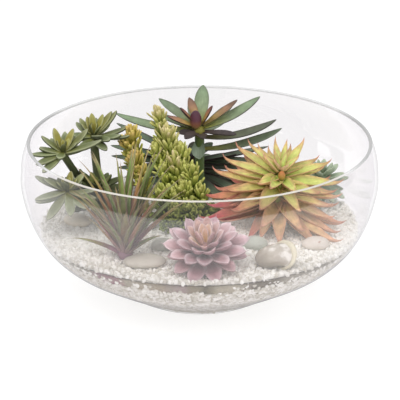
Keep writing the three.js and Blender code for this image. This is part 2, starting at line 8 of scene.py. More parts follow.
import bpy
import numpy as np
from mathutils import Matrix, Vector


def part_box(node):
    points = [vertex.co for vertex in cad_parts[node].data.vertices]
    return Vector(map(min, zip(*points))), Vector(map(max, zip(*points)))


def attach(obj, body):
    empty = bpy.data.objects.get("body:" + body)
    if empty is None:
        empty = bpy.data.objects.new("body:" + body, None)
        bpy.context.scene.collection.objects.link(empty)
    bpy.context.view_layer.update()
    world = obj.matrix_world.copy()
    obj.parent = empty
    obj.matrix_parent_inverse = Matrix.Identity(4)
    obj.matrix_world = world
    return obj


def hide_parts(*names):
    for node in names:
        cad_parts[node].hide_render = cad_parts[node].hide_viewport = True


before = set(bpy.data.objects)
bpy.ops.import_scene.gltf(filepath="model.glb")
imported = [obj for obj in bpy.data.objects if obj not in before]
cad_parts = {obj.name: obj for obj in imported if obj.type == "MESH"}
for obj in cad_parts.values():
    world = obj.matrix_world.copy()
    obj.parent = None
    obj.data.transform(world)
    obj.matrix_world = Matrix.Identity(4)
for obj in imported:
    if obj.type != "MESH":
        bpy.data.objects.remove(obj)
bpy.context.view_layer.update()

# ---------------------------------------------------------------- driving sizes, in millimetres
MM = 0.001
TAU = 2 * np.pi
GOLDEN_ANGLE = 137.508
GAP = 0.3  # air between two pieces that touch
WALL = 3.2  # thickness of the blown glass
# Filled glass draws its filling out to its surface like a lens, so it is drawn this thin where gravel lies
# in it, and grows to its true thickness between two heights above the gravel.
SEEN_WALL = 0.9
SEEN_FLOOR = 1.6
WALL_GROWS = (66, 90)


def height_of(node, corner):
    """Lowest (0) or highest (1) point of a CAD node."""
    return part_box(node)[corner].z / MM


# Outside of the bowl from foot to rim, as radius and height.
BOWL_OUTSIDE = [
    [50.7, 1.2], [60.6, 5.7], [75.3, 14.2], [95.5, 25.5], [118.7, 39.7], [135.4, 56.7],
    [146.2, 77.9], [151.8, 99.1], [152.3, 112], [150.7, 127], [146.6, 140.0],
]
FOOT_EASE = 1.2  # rounded edge of the foot
FOAM_TOP = height_of("planting_foam", 1)
FOAM_BOTTOM = height_of("gravel_fill", 1) + GAP
FOAM_BLOCK = {"radius": 104, "bottom": height_of("planting_foam", 0)}
GRAVEL_EDGE = FOAM_TOP + 1.8  # top of the gravel skin at the glass
GRAVEL_MOUND = 1.6  # how much higher it is in the middle
PRESSED_UP = 3.0  # how much higher foam and gravel stand along the glass in front
STEM_FOOT = 42  # the stalks' lower ends, inside the foam
COLLAR = GRAVEL_EDGE + 7  # height up to which a stalk is straight
CHIP = 2.2  # half the size of a gravel chip
CHIP_STEP = 3.5  # between two chips of a row along the glass
ROW_STEP = 2.7  # between two such rows
SKIN_CHIPS = 5600
BOWL_SIDES, FILL_SIDES, FOAM_SIDES = 256, 144, 360  # straight sides round each turned body


# ---------------------------------------------------------------- surfaces
def smooth_share(value, low, high):
    """0 below low, 1 above high, and an even S between."""
    share = np.clip((np.asarray(value, float) - low) / (high - low), 0, 1)
    return share * share * (3 - 2 * share)


def part(points, faces, smooth=True, **marks):
    """One body: points, a list of face arrays, and marks, which are one number or three for each point."""
    points = np.asarray(points, float).reshape(-1, 3)
    spread = {}
    for key, value in marks.items():
        value = np.asarray(value, float)
        spread[key] = np.broadcast_to(value, (len(points),) + value.shape[1:])
    return {"points": points, "faces": faces, "smooth": smooth, "marks": spread}


def make_piece(name, parts, finish, node):
    """Parts as one mesh object at the origin, which rides on the root body and stands for a CAD node.

    A mark that a part lacks is 0 there.
    """
    offset, points, faces, smooth = 0, [], [], []
    names = sorted({key for piece in parts for key in piece["marks"]})
    marks = {key: [] for key in names}
    for piece in parts:
        points.append(piece["points"])
        for block in piece["faces"]:
            faces.append(np.asarray(block) + offset)
            smooth.append(np.full(len(block), piece["smooth"]))
        for key in names:
            wide = next(p["marks"][key].shape[1:] for p in parts if key in p["marks"])
            marks[key].append(piece["marks"].get(key, np.zeros((len(piece["points"]),) + wide)))
        offset += len(piece["points"])
    sizes = np.concatenate([np.full(len(block), block.shape[1]) for block in faces])
    corners = np.concatenate([block.ravel() for block in faces])
    mesh = bpy.data.meshes.new(name)
    mesh.vertices.add(offset)
    mesh.vertices.foreach_set("co", (np.concatenate(points) * MM).astype(np.float32).ravel())
    mesh.loops.add(len(corners))
    mesh.loops.foreach_set("vertex_index", corners.astype(np.int32))
    mesh.polygons.add(len(sizes))
    mesh.polygons.foreach_set("loop_start", (np.cumsum(sizes) - sizes).astype(np.int32))
    mesh.polygons.foreach_set("use_smooth", np.concatenate(smooth).astype(bool))
    mesh.update(calc_edges=True)
    for key in names:
        values = np.concatenate(marks[key])
        kind, field = ("FLOAT", "value") if values.ndim == 1 else ("FLOAT_VECTOR", "vector")
        mesh.attributes.new(key, kind, "POINT").data.foreach_set(field, values.astype(np.float32).ravel())
    mesh.materials.append(finish)
    piece = bpy.data.objects.new(name, mesh)
    bpy.context.scene.collection.objects.link(piece)
    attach(piece, "root")
    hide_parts(node)


def loft_faces(count, rings, around):
    """Faces of count closed lofts, each with a root pole, rings of points and a tip pole, in that order."""
    stride = rings * around + 2
    ring, side = np.meshgrid(np.arange(rings - 1), np.arange(around), indexing="ij")
    here = 1 + ring * around + side
    beside = 1 + ring * around + (side + 1) % around
    quads = np.stack([here, beside, beside + around, here + around], -1).reshape(-1, 4)
    side = np.arange(around)
    root = np.stack([np.zeros(around, int), 1 + (side + 1) % around, 1 + side], -1)
    last = 1 + (rings - 1) * around
    tip = np.stack([last + side, last + (side + 1) % around, np.full(around, stride - 1)], -1)
    shift = (np.arange(count) * stride)[:, None, None]
    return [(quads + shift).reshape(-1, 4), (np.concatenate([root, tip]) + shift).reshape(-1, 3)]


def closed_lofts(rings, root, tip, **marks):
    """Closed lofts from an array of rings [loft, ring, side, xyz] and their end points.

    A mark is a number or an array that spreads over [loft, ring, side]. Poles take the mean of their ring.
    """
    count, steps, around, _ = rings.shape
    points = np.concatenate([root[:, None], rings.reshape(count, -1, 3), tip[:, None]], 1)
    spread = {}
    for key, value in marks.items():
        value = np.asarray(value, float)
        wide = value.shape[3:]
        full = np.broadcast_to(value, (count, steps, around) + wide)
        ends = [full[:, :1].mean(2), full.reshape((count, -1) + wide), full[:, -1:].mean(2)]
        spread[key] = np.concatenate(ends, 1).reshape((-1,) + wide)
    return part(points, loft_faces(count, steps, around), **spread)


def catmull(points, count):
    """Evenly spaced samples of the uniform Catmull-Rom curve through the points."""
    points = np.asarray(points, float)
    padded = np.concatenate([points[:1], points, points[-1:]])
    at = np.linspace(0, len(points) - 1, count)
    i = np.minimum(at.astype(int), len(points) - 2)
    u = (at - i)[:, None]
    p0, p1, p2, p3 = (padded[i + k] for k in range(4))
    v0, v1 = (p2 - p0) / 2, (p3 - p1) / 2
    return (2 * p1 - 2 * p2 + v0 + v1) * u**3 + (-3 * p1 + 3 * p2 - 2 * v0 - v1) * u**2 + v0 * u + p1


def tube(route, radius, around=14, steps=40, **marks):
    """A round stalk: circles carried along the Catmull-Rom curve through the route.

    The radius may be a list, spread evenly along the route. Circles stay square to the curve.
    """
    line = catmull(route, steps)
    ahead = np.gradient(line, axis=0)
    ahead /= np.linalg.norm(ahead, axis=1, keepdims=True)
    across = np.cross(ahead, [0.31, 0.95, 0.05])  # a direction that no stalk follows
    across /= np.linalg.norm(across, axis=1, keepdims=True)
    second = np.cross(ahead, across)
    angle = np.arange(around) / around * TAU
    radius = np.interp(np.linspace(0, 1, steps), np.linspace(0, 1, np.size(radius)), np.ravel(radius))
    circle = across[:, None] * np.cos(angle)[:, None] + second[:, None] * np.sin(angle)[:, None]
    rings = (line[:, None] + circle * radius[:, None, None])[None]
    marks = {"along": np.linspace(0, 1, steps)[None, :, None], **marks}
    return closed_lofts(rings, line[None, 0], line[None, -1], **marks)


def egg(centre, radii, spin=0.0, around=24, rings=15, rough=0.0, seed=0, **marks):
    """An ellipsoid with poles up and down; its radius wavers by rough times a sum of four smooth waves."""
    lift = np.linspace(-1, 1, rings + 2)[1:-1] * np.pi / 2
    angle = np.arange(around) / around * TAU
    lift, angle = np.meshgrid(lift, angle, indexing="ij")
    ball = np.stack([np.cos(lift) * np.cos(angle), np.cos(lift) * np.sin(angle), np.sin(lift)], -1)
    waves = np.random.default_rng(seed).normal(size=(4, 4))
    waver = sum(np.sin(ball @ wave[:3] * 1.7 + wave[3] * 3) for wave in waves) / 4
    ball = ball * (1 + rough * waver)[..., None]
    c, s = np.cos(np.radians(spin)), np.sin(np.radians(spin))
    turn = np.array([[c, -s, 0], [s, c, 0], [0, 0, 1]])
    reach = np.asarray(radii, float)
    rings = (ball * reach) @ turn.T + centre
    poles = np.array([[0, 0, -reach[2]], [0, 0, reach[2]]]) + centre
    marks = {"along": ((np.sin(lift) + 1) / 2)[None], **marks}
    return closed_lofts(rings[None], poles[:1], poles[1:], **marks)


def turned(profile, around, **marks):
    """A profile of radius and height carried round Z, from the axis below to the axis above.

    A mark is an array along the profile. Profiles run counter-clockwise with the radius to the right and the
    height up, so that faces point outwards.
    """
    profile = np.asarray(profile, float)
    angle = np.arange(around) / around * TAU
    radius, height = profile[1:-1, 0, None], profile[1:-1, 1, None]
    rings = np.stack([radius * np.cos(angle), radius * np.sin(angle), height + 0 * angle], -1)
    marks = {key: np.asarray(value, float)[None, 1:-1, None] for key, value in marks.items()}
    poles = [np.array([[0, 0, profile[k, 1]]]) for k in (0, -1)]
    return closed_lofts(rings[None], *poles, **marks)


# ---------------------------------------------------------------- materials
def linear(colour):
    """An sRGB hex value as a linear, opaque colour."""
    srgb = np.array([(colour >> shift & 255) / 255 for shift in (16, 8, 0)])
    return (*np.where(srgb <= 0.04045, srgb / 12.92, ((srgb + 0.055) / 1.055) ** 2.4), 1.0)


def add(tree, kind, sockets=None, stops=None, **settings):
    """Adds a node: its settings, its sockets' values or links, and a ramp's stops (position, sRGB hex)."""
    made = tree.nodes.new("ShaderNode" + kind)
    for key, value in settings.items():
        setattr(made, key, value)
    for key, value in (sockets or {}).items():
        if isinstance(value, bpy.types.NodeSocket):
            tree.links.new(value, made.inputs[key])
        else:
            made.inputs[key].default_value = value
    for i, (position, colour) in enumerate(stops or ()):
        line = made.color_ramp.elements
        mark = line[i] if i < 2 else line.new(position)
        mark.position, mark.color = position, linear(colour)
    return made


def material(name, **sockets):
    """A material with one Principled shader, whose constant values are given by socket name."""
    finish = bpy.data.materials.new(name)
    finish.use_nodes = True
    tree = finish.node_tree
    tree.nodes.clear()
    named = {key.replace("_", " "): value for key, value in sockets.items()}
    shader = add(tree, "BsdfPrincipled", named)
    add(tree, "OutputMaterial", {"Surface": shader.outputs[0]})
    return finish, tree, shader


EDGE_START = 0.62  # how far out from the middle of a leaf its edge colour starts


def leaf_plastic(name, outer, inner, edge, under, roughness=0.5, streak=0.25, gloss=0.4):
    """Moulded, air-brushed PVC: a spray fades from root to tip, edges and backs get another colour.

    outer and inner are stops along the leaf for old and young leaves. edge and under are a colour and how
    much of it shows, and a third number in edge stands in for EDGE_START. Fine streaks run along the leaf,
    0.8 mm apart, and the mark tone makes one leaf lighter than the next.
    """
    finish, tree, shader = material(name, Roughness=roughness, Specular_IOR_Level=gloss)
    mark = {key: add(tree, "Attribute", attribute_name=key).outputs for key in
            ("along", "across", "upper", "tone", "inner", "grain")}
    old = add(tree, "ValToRGB", {"Fac": mark["along"]["Fac"]}, stops=outer).outputs[0]
    young = add(tree, "ValToRGB", {"Fac": mark["along"]["Fac"]}, stops=inner).outputs[0]
    colour = add(tree, "Mix", {0: mark["inner"]["Fac"], 6: old, 7: young}, data_type="RGBA").outputs[2]
    out = add(tree, "Math", {0: mark["across"]["Fac"]}, operation="ABSOLUTE").outputs[0]
    from_here = edge[2] if len(edge) > 2 else EDGE_START
    rim = add(tree, "MapRange", {0: out, 1: from_here, 2: 1.0, 3: 0.0, 4: edge[1]},
              interpolation_type="SMOOTHSTEP")
    colour = add(tree, "Mix", {0: rim.outputs[0], 6: colour, 7: linear(edge[0])}, data_type="RGBA").outputs[2]
    back = add(tree, "MapRange", {0: mark["upper"]["Fac"], 1: 1.0, 2: 0.0, 3: 0.0, 4: under[1]}).outputs[0]
    colour = add(tree, "Mix", {0: back, 6: colour, 7: linear(under[0])}, data_type="RGBA").outputs[2]
    grain = mark["grain"]["Vector"]
    stretched = add(tree, "Mapping", {"Vector": grain, "Scale": (1.3, 0.12, 1.0)}).outputs[0]
    fibres = add(tree, "TexNoise", {"Vector": stretched, "Scale": 1.0, "Detail": 4.0}).outputs["Fac"]
    blotch = add(tree, "TexNoise", {"Vector": grain, "Scale": 0.16, "Detail": 2.0}).outputs["Fac"]
    both = add(tree, "Math", {0: fibres, 1: blotch}, operation="ADD").outputs[0]
    light = add(tree, "MapRange", {0: both, 1: 0.6, 2: 1.4, 3: 1 - streak, 4: 1 + streak}).outputs[0]
    pale = add(tree, "MapRange", {0: mark["tone"]["Fac"], 3: 0.88, 4: 1.1}).outputs[0]
    light = add(tree, "Math", {0: light, 1: pale}, operation="MULTIPLY").outputs[0]
    hue = add(tree, "MapRange", {0: mark["tone"]["Fac"], 3: 0.492, 4: 0.508}).outputs[0]
    worn = add(tree, "HueSaturation", {"Hue": hue, "Value": light, "Color": colour}).outputs[0]
    tree.links.new(worn, shader.inputs["Base Color"])
    bump = add(tree, "Bump", {"Height": fibres, "Strength": 0.35, "Distance": 0.0003}).outputs[0]
    tree.links.new(bump, shader.inputs["Normal"])
    return finish


def stone(name, colour, spots, size, roughness, bump):
    """Stone: two colours in cloudy patches of about size millimetres, with fine grit on the surface."""
    finish, tree, shader = material(name, Roughness=roughness)
    place = add(tree, "TexCoord").outputs["Object"]
    clouds = add(tree, "TexNoise", {"Vector": place, "Scale": 1 / (size * MM), "Detail": 6.0}).outputs["Fac"]
    tone = add(tree, "Attribute", attribute_name="tone").outputs["Fac"]
    shade = add(tree, "Math", {0: clouds, 1: tone}, operation="ADD").outputs[0]
    share = add(tree, "MapRange", {0: shade, 1: 0.55, 2: 1.25}).outputs[0]
    mixed = add(tree, "Mix", {0: share, 6: linear(spots), 7: linear(colour)}, data_type="RGBA").outputs[2]
    tree.links.new(mixed, shader.inputs["Base Color"])
    grit = add(tree, "TexNoise", {"Vector": place, "Scale": 1 / (0.7 * MM), "Detail": 3.0}).outputs["Fac"]
    relief = add(tree, "Bump", {"Height": grit, "Strength": bump, "Distance": 0.0004}).outputs[0]
    tree.links.new(relief, shader.inputs["Normal"])
    return finish


def clear_glass():
    """Blown soda-lime glass as a thin wall: it mirrors more the more it turns away, and greys along its edge.

    Only the outer face does that, so that the wall ends in one soft line. Where the gravel lies against it
    the mirror is weaker. The fire-polished rim is nearly opaque and wears painted light and shade by its
    place
    round the bowl: cream in front, light at the back, and grey at the sides and inside. A band of painted
    grey shade runs round the inside just below it, darkest at the sides.
    """
    finish = bpy.data.materials.new("blown_soda_lime_glass")
    finish.use_nodes = True
    tree = finish.node_tree
    tree.nodes.clear()
    mark = {key: add(tree, "Attribute", attribute_name=key).outputs["Fac"] for key in
            ("rim", "flank", "filled", "outer", "dim")}
    facing = add(tree, "LayerWeight", {"Blend": 0.5}).outputs["Facing"]
    clear = add(tree, "ValToRGB", {"Fac": facing}, stops=[
        (0.5, 0xFEFDFD), (1.0, 0xA4A3A4), (0.8, 0xF5F4F5), (0.93, 0xD6D5D6)]).outputs[0]
    tint = add(tree, "Mix", {0: mark["outer"], 6: linear(0xF7F6F7), 7: clear}, data_type="RGBA").outputs[2]
    # Painted grey shade in a band round the inside just below the rim, darkest at the sides.
    tint = add(tree, "Mix", {0: mark["flank"], 6: tint, 7: linear(0xC9C8C8)}, data_type="RGBA").outputs[2]
    through = add(tree, "BsdfTransparent", {"Color": tint}).outputs[0]
    mirror = add(tree, "BsdfGlossy", {"Color": (1, 1, 1, 1), "Roughness": 0.02}).outputs[0]
    graze = add(tree, "Math", {0: facing, 1: 3.0}, operation="POWER").outputs[0]
    graze = add(tree, "Math", {0: graze, 1: mark["outer"]}, operation="MULTIPLY").outputs[0]
    most = add(tree, "MapRange", {0: mark["filled"], 3: 0.58, 4: 0.2}).outputs[0]
    share = add(tree, "MapRange", {0: graze, 3: 0.07, 4: most}).outputs[0]
    wall = add(tree, "MixShader", {0: share, 1: through, 2: mirror}).outputs[0]
    # Painted light and shade on the rim: cream in front, light grey behind, grey at the sides and inside.
    shade = add(tree, "ValToRGB", {"Fac": mark["dim"]}, stops=[
        (0.0, 0xCBC6BD), (1.0, 0xB2B2B2), (0.5, 0xDCDCDC)]).outputs[0]
    polished = add(tree, "BsdfPrincipled", {"Base Color": shade, "Roughness": 0.12}).outputs[0]
    whole = add(tree, "MixShader", {0: mark["rim"], 1: wall, 2: polished}).outputs[0]
    add(tree, "OutputMaterial", {"Surface": whole})
    return finish


# ---------------------------------------------------------------- bowl and filling
def wall_line(depth, count=121):
    """The bowl's outside from foot to rim, moved inwards along its normal by one depth or one per point."""
    line = catmull(BOWL_OUTSIDE, count)
    along = np.gradient(line, axis=0)
    along /= np.linalg.norm(along, axis=1, keepdims=True)
    return line + np.stack([-along[:, 1], along[:, 0]], -1) * np.reshape(depth, (-1, 1))


def radius_at(line, height):
    """Radius of a wall line at a height."""
    return np.interp(height, line[:, 1], line[:, 0])


FILL = wall_line(SEEN_WALL + GAP)


def side_between(bottom, top, inset=0.0):
    """The side of the filling between two heights, as radius and height."""
    heights = np.linspace(bottom, top, max(3, int((top - bottom) / 1.5)))
    return np.stack([radius_at(FILL, heights) - inset, heights], -1)


def make_bowl():
    """The bowl as one turned profile: foot, outside, rounded rim, inside and floor."""
    outside = wall_line(0)
    inside = wall_line(SEEN_WALL + (WALL - SEEN_WALL) * smooth_share(outside[:, 1], *WALL_GROWS))
    end = (outside[-1] + inside[-1]) / 2
    out = (outside[-1] - inside[-1]) / 2
    up = np.array([-out[1], out[0]])
    bend = np.linspace(0, np.pi, 15)[1:-1, None]
    rim = end + out * np.cos(bend) + up * np.sin(bend)
    foot = [[x, 0] for x in (8, 20, 32, 44)]
    ease = np.radians(np.linspace(-90, -15, 5))
    corner = [outside[0, 0] - FOOT_EASE + FOOT_EASE * np.cos(ease), FOOT_EASE * (1 + np.sin(ease))]
    corner = np.stack(corner, -1)
    cavity = inside[inside[:, 1] > SEEN_FLOOR + 2]
    edge = radius_at(inside, SEEN_FLOOR)
    floor = [[edge - 1.5, SEEN_FLOOR + 0.3], [edge - 5, SEEN_FLOOR], [30, SEEN_FLOOR], [0, SEEN_FLOOR]]
    profile = np.concatenate([[[0, 0]], foot, corner, outside, rim, cavity[::-1], floor])
    # How far round the rim each point lies, from 0 outside to 1 inside.
    start = 1 + len(foot) + len(corner) + len(outside)
    order = np.arange(len(profile))
    turn = np.clip((order - start + 1) / (len(rim) + 1), 0, 1)
    mark = np.interp(turn, [0, 0.02, 0.1, 0.9, 0.98, 1], [0, 0.6, 1, 1, 0.6, 0])
    height = profile[:, 1]
    flank = smooth_share(height, 138.2, 139.6) * (order >= start + len(rim))
    bowl = turned(profile, BOWL_SIDES, rim=mark, flank=flank, outer=1 - smooth_share(turn, 0, 0.4), dim=turn,
                  filled=1 - smooth_share(height, GRAVEL_EDGE - 4, GRAVEL_EDGE))
    points, marks = bowl["points"], bowl["marks"]
    # Painted light and shade on the rim by its place round the bowl, and the painted grey band below it,
    # darker at the sides.
    aside = np.abs(points[:, 0]) / np.hypot(*points[:, :2].T).clip(1)
    behind = smooth_share(points[:, 1], -20, 20)
    within = smooth_share(marks["dim"], 0.4, 0.55)
    dim = np.maximum(0.5 * behind, within * (1 - 0.5 * behind))
    marks["dim"] = np.maximum(dim, smooth_share(aside, 0.7, 0.97))
    marks["flank"] = marks["flank"] * (0.15 + 0.65 * smooth_share(aside, 0.5, 0.9))
    make_piece("bowl_glass", [bowl], clear_glass(), "glass_bowl")


def icosahedron():
    """Corners and faces of a regular twenty-sided solid with its corners at distance 1."""
    g = (1 + 5**0.5) / 2
    corners = [[-1, g, 0], [1, g, 0], [-1, -g, 0], [1, -g, 0], [0, -1, g], [0, 1, g],
               [0, -1, -g], [0, 1, -g], [g, 0, -1], [g, 0, 1], [-g, 0, -1], [-g, 0, 1]]
    faces = [[0, 11, 5], [0, 5, 1], [0, 1, 7], [0, 7, 10], [0, 10, 11], [1, 5, 9], [5, 11, 4],
             [11, 10, 2], [10, 7, 6], [7, 1, 8], [3, 9, 4], [3, 4, 2], [3, 2, 6], [3, 6, 8],
             [3, 8, 9], [4, 9, 5], [2, 4, 11], [6, 2, 10], [8, 6, 7], [9, 8, 1]]
    return np.array(corners) / np.hypot(1, g), np.array(faces)


def chips(centres, seed):
    """Crushed stones: a jittered icosahedron at each centre, turned and stretched at random.

    Corners past the side of the filling are drawn back to it, as stones pressed against the glass.
    """
    rng = np.random.default_rng(seed)
    corners, faces = icosahedron()
    count = len(centres)
    turn = np.linalg.qr(rng.normal(size=(count, 3, 3)))[0]
    turn *= np.sign(np.linalg.det(turn))[:, None, None]
    reach = CHIP * rng.uniform(0.62, 1.18, (count, 1, 3))
    jitter = 1 + rng.uniform(-0.2, 0.2, (count, 12, 1))
    points = np.einsum("nij,nkj->nki", turn, corners * reach * jitter) + centres[:, None]
    far = np.linalg.norm(points[..., :2], axis=-1)
    most = radius_at(FILL, points[..., 2])
    points[..., :2] *= np.minimum(1, most / np.maximum(far, 1e-6))[..., None]
    shift = (np.arange(count) * 12)[:, None, None]
    tone = np.repeat(rng.uniform(0, 1, count), 12)
    return part(points, [(faces + shift).reshape(-1, 3)], smooth=False, tone=tone)


def skin_height(radius, edge):
    """Height of the gravel skin, a low mound."""
    return GRAVEL_EDGE + GRAVEL_MOUND * (1 - (radius / edge) ** 2)


def front_lift(points):
    """How far the filling is pressed up at some points: all of it beside the glass in front, none behind."""
    radius = np.hypot(points[:, 0], points[:, 1])
    edge = radius_at(FILL, GRAVEL_EDGE)
    ahead = -points[:, 1] / np.maximum(radius, 1e-6)
    return PRESSED_UP * smooth_share(radius, edge - 14, edge - 5) * smooth_share(ahead, 0.3, 0.85)


def pressed_radii():
    """Radii where the surfaces between foam and gravel bend, from the inner one to the glass."""
    return radius_at(FILL, FOAM_TOP) - np.array([16, 13, 10.5, 8, 5.5, 3])


def wall_chips(rows, rng):
    """Centres of chips that lie against the glass, from rows of radius, height and share.

    The share of them that is there is a function of the degrees from the front towards +X.
    """
    centres = []
    for radius, height, keep in rows:
        count = int(TAU * radius / CHIP_STEP)
        angle = (np.arange(count) + rng.uniform(0, 1)) / count * TAU + rng.normal(0, 0.008, count)
        inward = rng.uniform(0.9, 2.1, count)
        spot = np.stack([(radius - inward) * np.cos(angle), (radius - inward) * np.sin(angle),
                         height + rng.normal(0, 0.6, count)], -1)
        front = np.degrees(np.arctan2(spot[:, 0], -spot[:, 1]))
        centres.append(spot[rng.uniform(0, 1, count) < keep(front)])
    return np.concatenate(centres)


def painted_foot_shade(height):
    """Share of the greyer tone of the lowest gravel, growing towards the foot: painted shade."""
    return 1 - smooth_share(height, 7, 17)


def make_gravel():
    """Loose gravel under the foam and the gravel skin on it: a plain body each, with chips where it shows.

    Crushed marble is matt and nearly white, with a greyer stone here and there. The loose body is drawn
    greyer than its chips and greyer still towards the foot, which is painted shade; the skin's chips away
    from the front are lighter, which is painted light.
    """
    white = stone("crushed_marble_chips", 0xF9F7F1, 0xCBC5B7, 9, 0.75, 0.3)
    rng = np.random.default_rng(11)
    block, top = FOAM_BLOCK, FOAM_BOTTOM - GAP
    pit_edge, pit_floor = block["radius"] + GAP, block["bottom"] - GAP
    pit = [[pit_edge, top], [pit_edge, pit_floor], [0, pit_floor]]
    side = side_between(SEEN_FLOOR + GAP, top, 1.8)
    profile = np.concatenate([[[0, SEEN_FLOOR + GAP]], side, pit])
    # The body under the chips is greyer: painted shade in the gaps between them, deeper towards the foot.
    body = turned(profile, FILL_SIDES, tone=-0.15 - 0.5 * painted_foot_shade(profile[:, 1]))
    line = side_between(SEEN_FLOOR + 2, top - 0.6)
    length = np.concatenate([[0], np.cumsum(np.linalg.norm(np.diff(line, axis=0), axis=1))])
    radius, height = (np.interp(np.arange(0, length[-1], ROW_STEP), length, line[:, k]) for k in (0, 1))
    everywhere = lambda front: 1 + 0 * front
    rows = [(*spot, everywhere) for spot in zip(radius, height)]
    # Stones between the foam's edge and the glass leave the edge free in front, and in a gap on either side.
    free = lambda front, low, high: (
        smooth_share(front, low, low + 2) * (1 - smooth_share(front, high - 2, high)))
    shown = lambda front: free(front, -17, 13) + 0.7 * free(front, 16, 24) + 0.7 * free(front, -33, -24)
    for rise, least, most in ((0.4, 0.7, 1), (1.9, 0.2, 1), (3.6, 0, 0.95), (5.2, 0, 0.9)):
        kept = lambda front, least=least, most=most: most + (least - most) * np.minimum(shown(front), 1)
        rows.append((radius_at(FILL, top + rise) - 0.2, top + rise, kept))
    centres = wall_chips(rows, rng)
    centres[:, 2] += 0.5 * front_lift(centres) * smooth_share(centres[:, 2], top + 2.5, top + 5)
    stones = chips(centres, 5)
    # Chips low in the bowl are greyer: painted shade towards the foot.
    stones["marks"]["tone"] = stones["marks"]["tone"] - 0.8 * painted_foot_shade(stones["points"][:, 2])
    make_piece("gravel_below", [body, stones], white, "gravel_fill")

    edge = radius_at(FILL, GRAVEL_EDGE)
    radii = np.linspace(0, edge - 1.2, 40)
    low = [[radius, FOAM_TOP + GAP] for radius in (0, *pressed_radii())]
    crown = np.stack([radii, skin_height(radii, edge) - 0.1], -1)[::-1]
    skin = turned(np.concatenate([low, crown]), FILL_SIDES, tone=np.full(len(low) + len(crown), 0.4))
    skin["points"][:, 2] += front_lift(skin["points"])
    order = np.arange(SKIN_CHIPS)
    share = np.sqrt((order + 0.5) / SKIN_CHIPS)
    angle = np.radians(GOLDEN_ANGLE) * order
    radius = share * (edge - 1.0)
    spot = np.stack([radius * np.cos(angle), radius * np.sin(angle)], -1)
    spot = spot + rng.normal(0, 0.7, (SKIN_CHIPS, 2))
    height = skin_height(radius, edge) + rng.uniform(-0.6, 0.9, SKIN_CHIPS)
    height += smooth_share(radius, edge - 7, edge - 2)
    spot = np.concatenate([spot, height[:, None]], 1)
    spot[:, 2] += front_lift(spot)
    stones = chips(spot, 6)
    # Chips away from the front are lighter: painted light.
    painted_light_behind = 0.4 * smooth_share(stones["points"][:, 1], -100, -50)
    stones["marks"]["tone"] = stones["marks"]["tone"] + painted_light_behind
    make_piece("gravel_skin", [skin, stones], white, "gravel_top")


# Colours of the foam's edge round the bowl, as degrees from the front towards +X and sRGB: the foam's brown,
# with painted shade and painted reflections of the plants above in the darker and reddish stops.
FOAM_BROWN_AND_PAINTED_SHADING = [
    (-60, 0xA39A88), (-42, 0x9A9080), (-38, 0x8A5F66), (-30, 0x93686C), (-26, 0xA69C88), (-14, 0xA09078),
    (-10, 0x9A8C80), (-5.5, 0x9C8584), (-3.2, 0x8A7C62), (0.6, 0x81765A), (1.4, 0x4E4630),
    (2.6, 0x625A3E), (4.6, 0x8A8064), (6, 0xA89E88), (12, 0xB2A994), (17, 0x94897A), (19, 0x645A48),
    (27, 0x6E6452), (32, 0xA0978A),
]


def make_foam():
    """Planting foam: a pitted brown disc with a deeper middle. Only its edge shows, through the glass."""
    finish, tree, shader = material("phenolic_planting_foam", Roughness=0.95)
    place = add(tree, "TexCoord").outputs["Object"]
    stain = add(tree, "Attribute", attribute_name="stain").outputs["Vector"]
    grain = add(tree, "TexNoise", {"Vector": place, "Scale": 1 / (1.6 * MM), "Detail": 5.0}).outputs["Fac"]
    value = add(tree, "MapRange", {0: grain, 1: 0.3, 2: 0.7, 3: 0.75, 4: 1.2}).outputs[0]
    worn = add(tree, "HueSaturation", {"Value": value, "Color": stain}).outputs[0]
    tree.links.new(worn, shader.inputs["Base Color"])
    relief = add(tree, "Bump", {"Height": grain, "Strength": 0.8, "Distance": 0.0008}).outputs[0]
    tree.links.new(relief, shader.inputs["Normal"])
    block = FOAM_BLOCK
    side = side_between(FOAM_BOTTOM, FOAM_TOP, 1.4)
    start = [[0, block["bottom"]], [block["radius"], block["bottom"]], [block["radius"], FOAM_BOTTOM]]
    inward = [[radius, FOAM_TOP] for radius in (*pressed_radii()[::-1], 0)]
    body = turned(np.concatenate([start, side, inward]), FOAM_SIDES)
    spots = body["points"]
    radius = np.hypot(spots[:, 0], spots[:, 1])
    beside = radius > radius_at(FILL, spots[:, 2]) - 2
    share = np.clip((spots[:, 2] - FOAM_BOTTOM) / (FOAM_TOP - FOAM_BOTTOM), 0, 1)
    spots[:, 2] += front_lift(spots) * share
    spots[beside, :2] *= ((radius_at(FILL, spots[beside, 2]) - 1.4) / radius[beside])[:, None]
    # The edge's colour by its angle round the bowl: the foam's brown with painted shade and painted
    # reflections.
    front = np.degrees(np.arctan2(spots[:, 0], -spots[:, 1]))
    angles, colours = zip(*FOAM_BROWN_AND_PAINTED_SHADING)
    colours = np.array([linear(colour)[:3] for colour in colours])
    body["marks"]["stain"] = np.stack([np.interp(front, angles, colours[:, k]) for k in range(3)], -1)
    make_piece("foam_disc", [body], finish, "planting_foam")


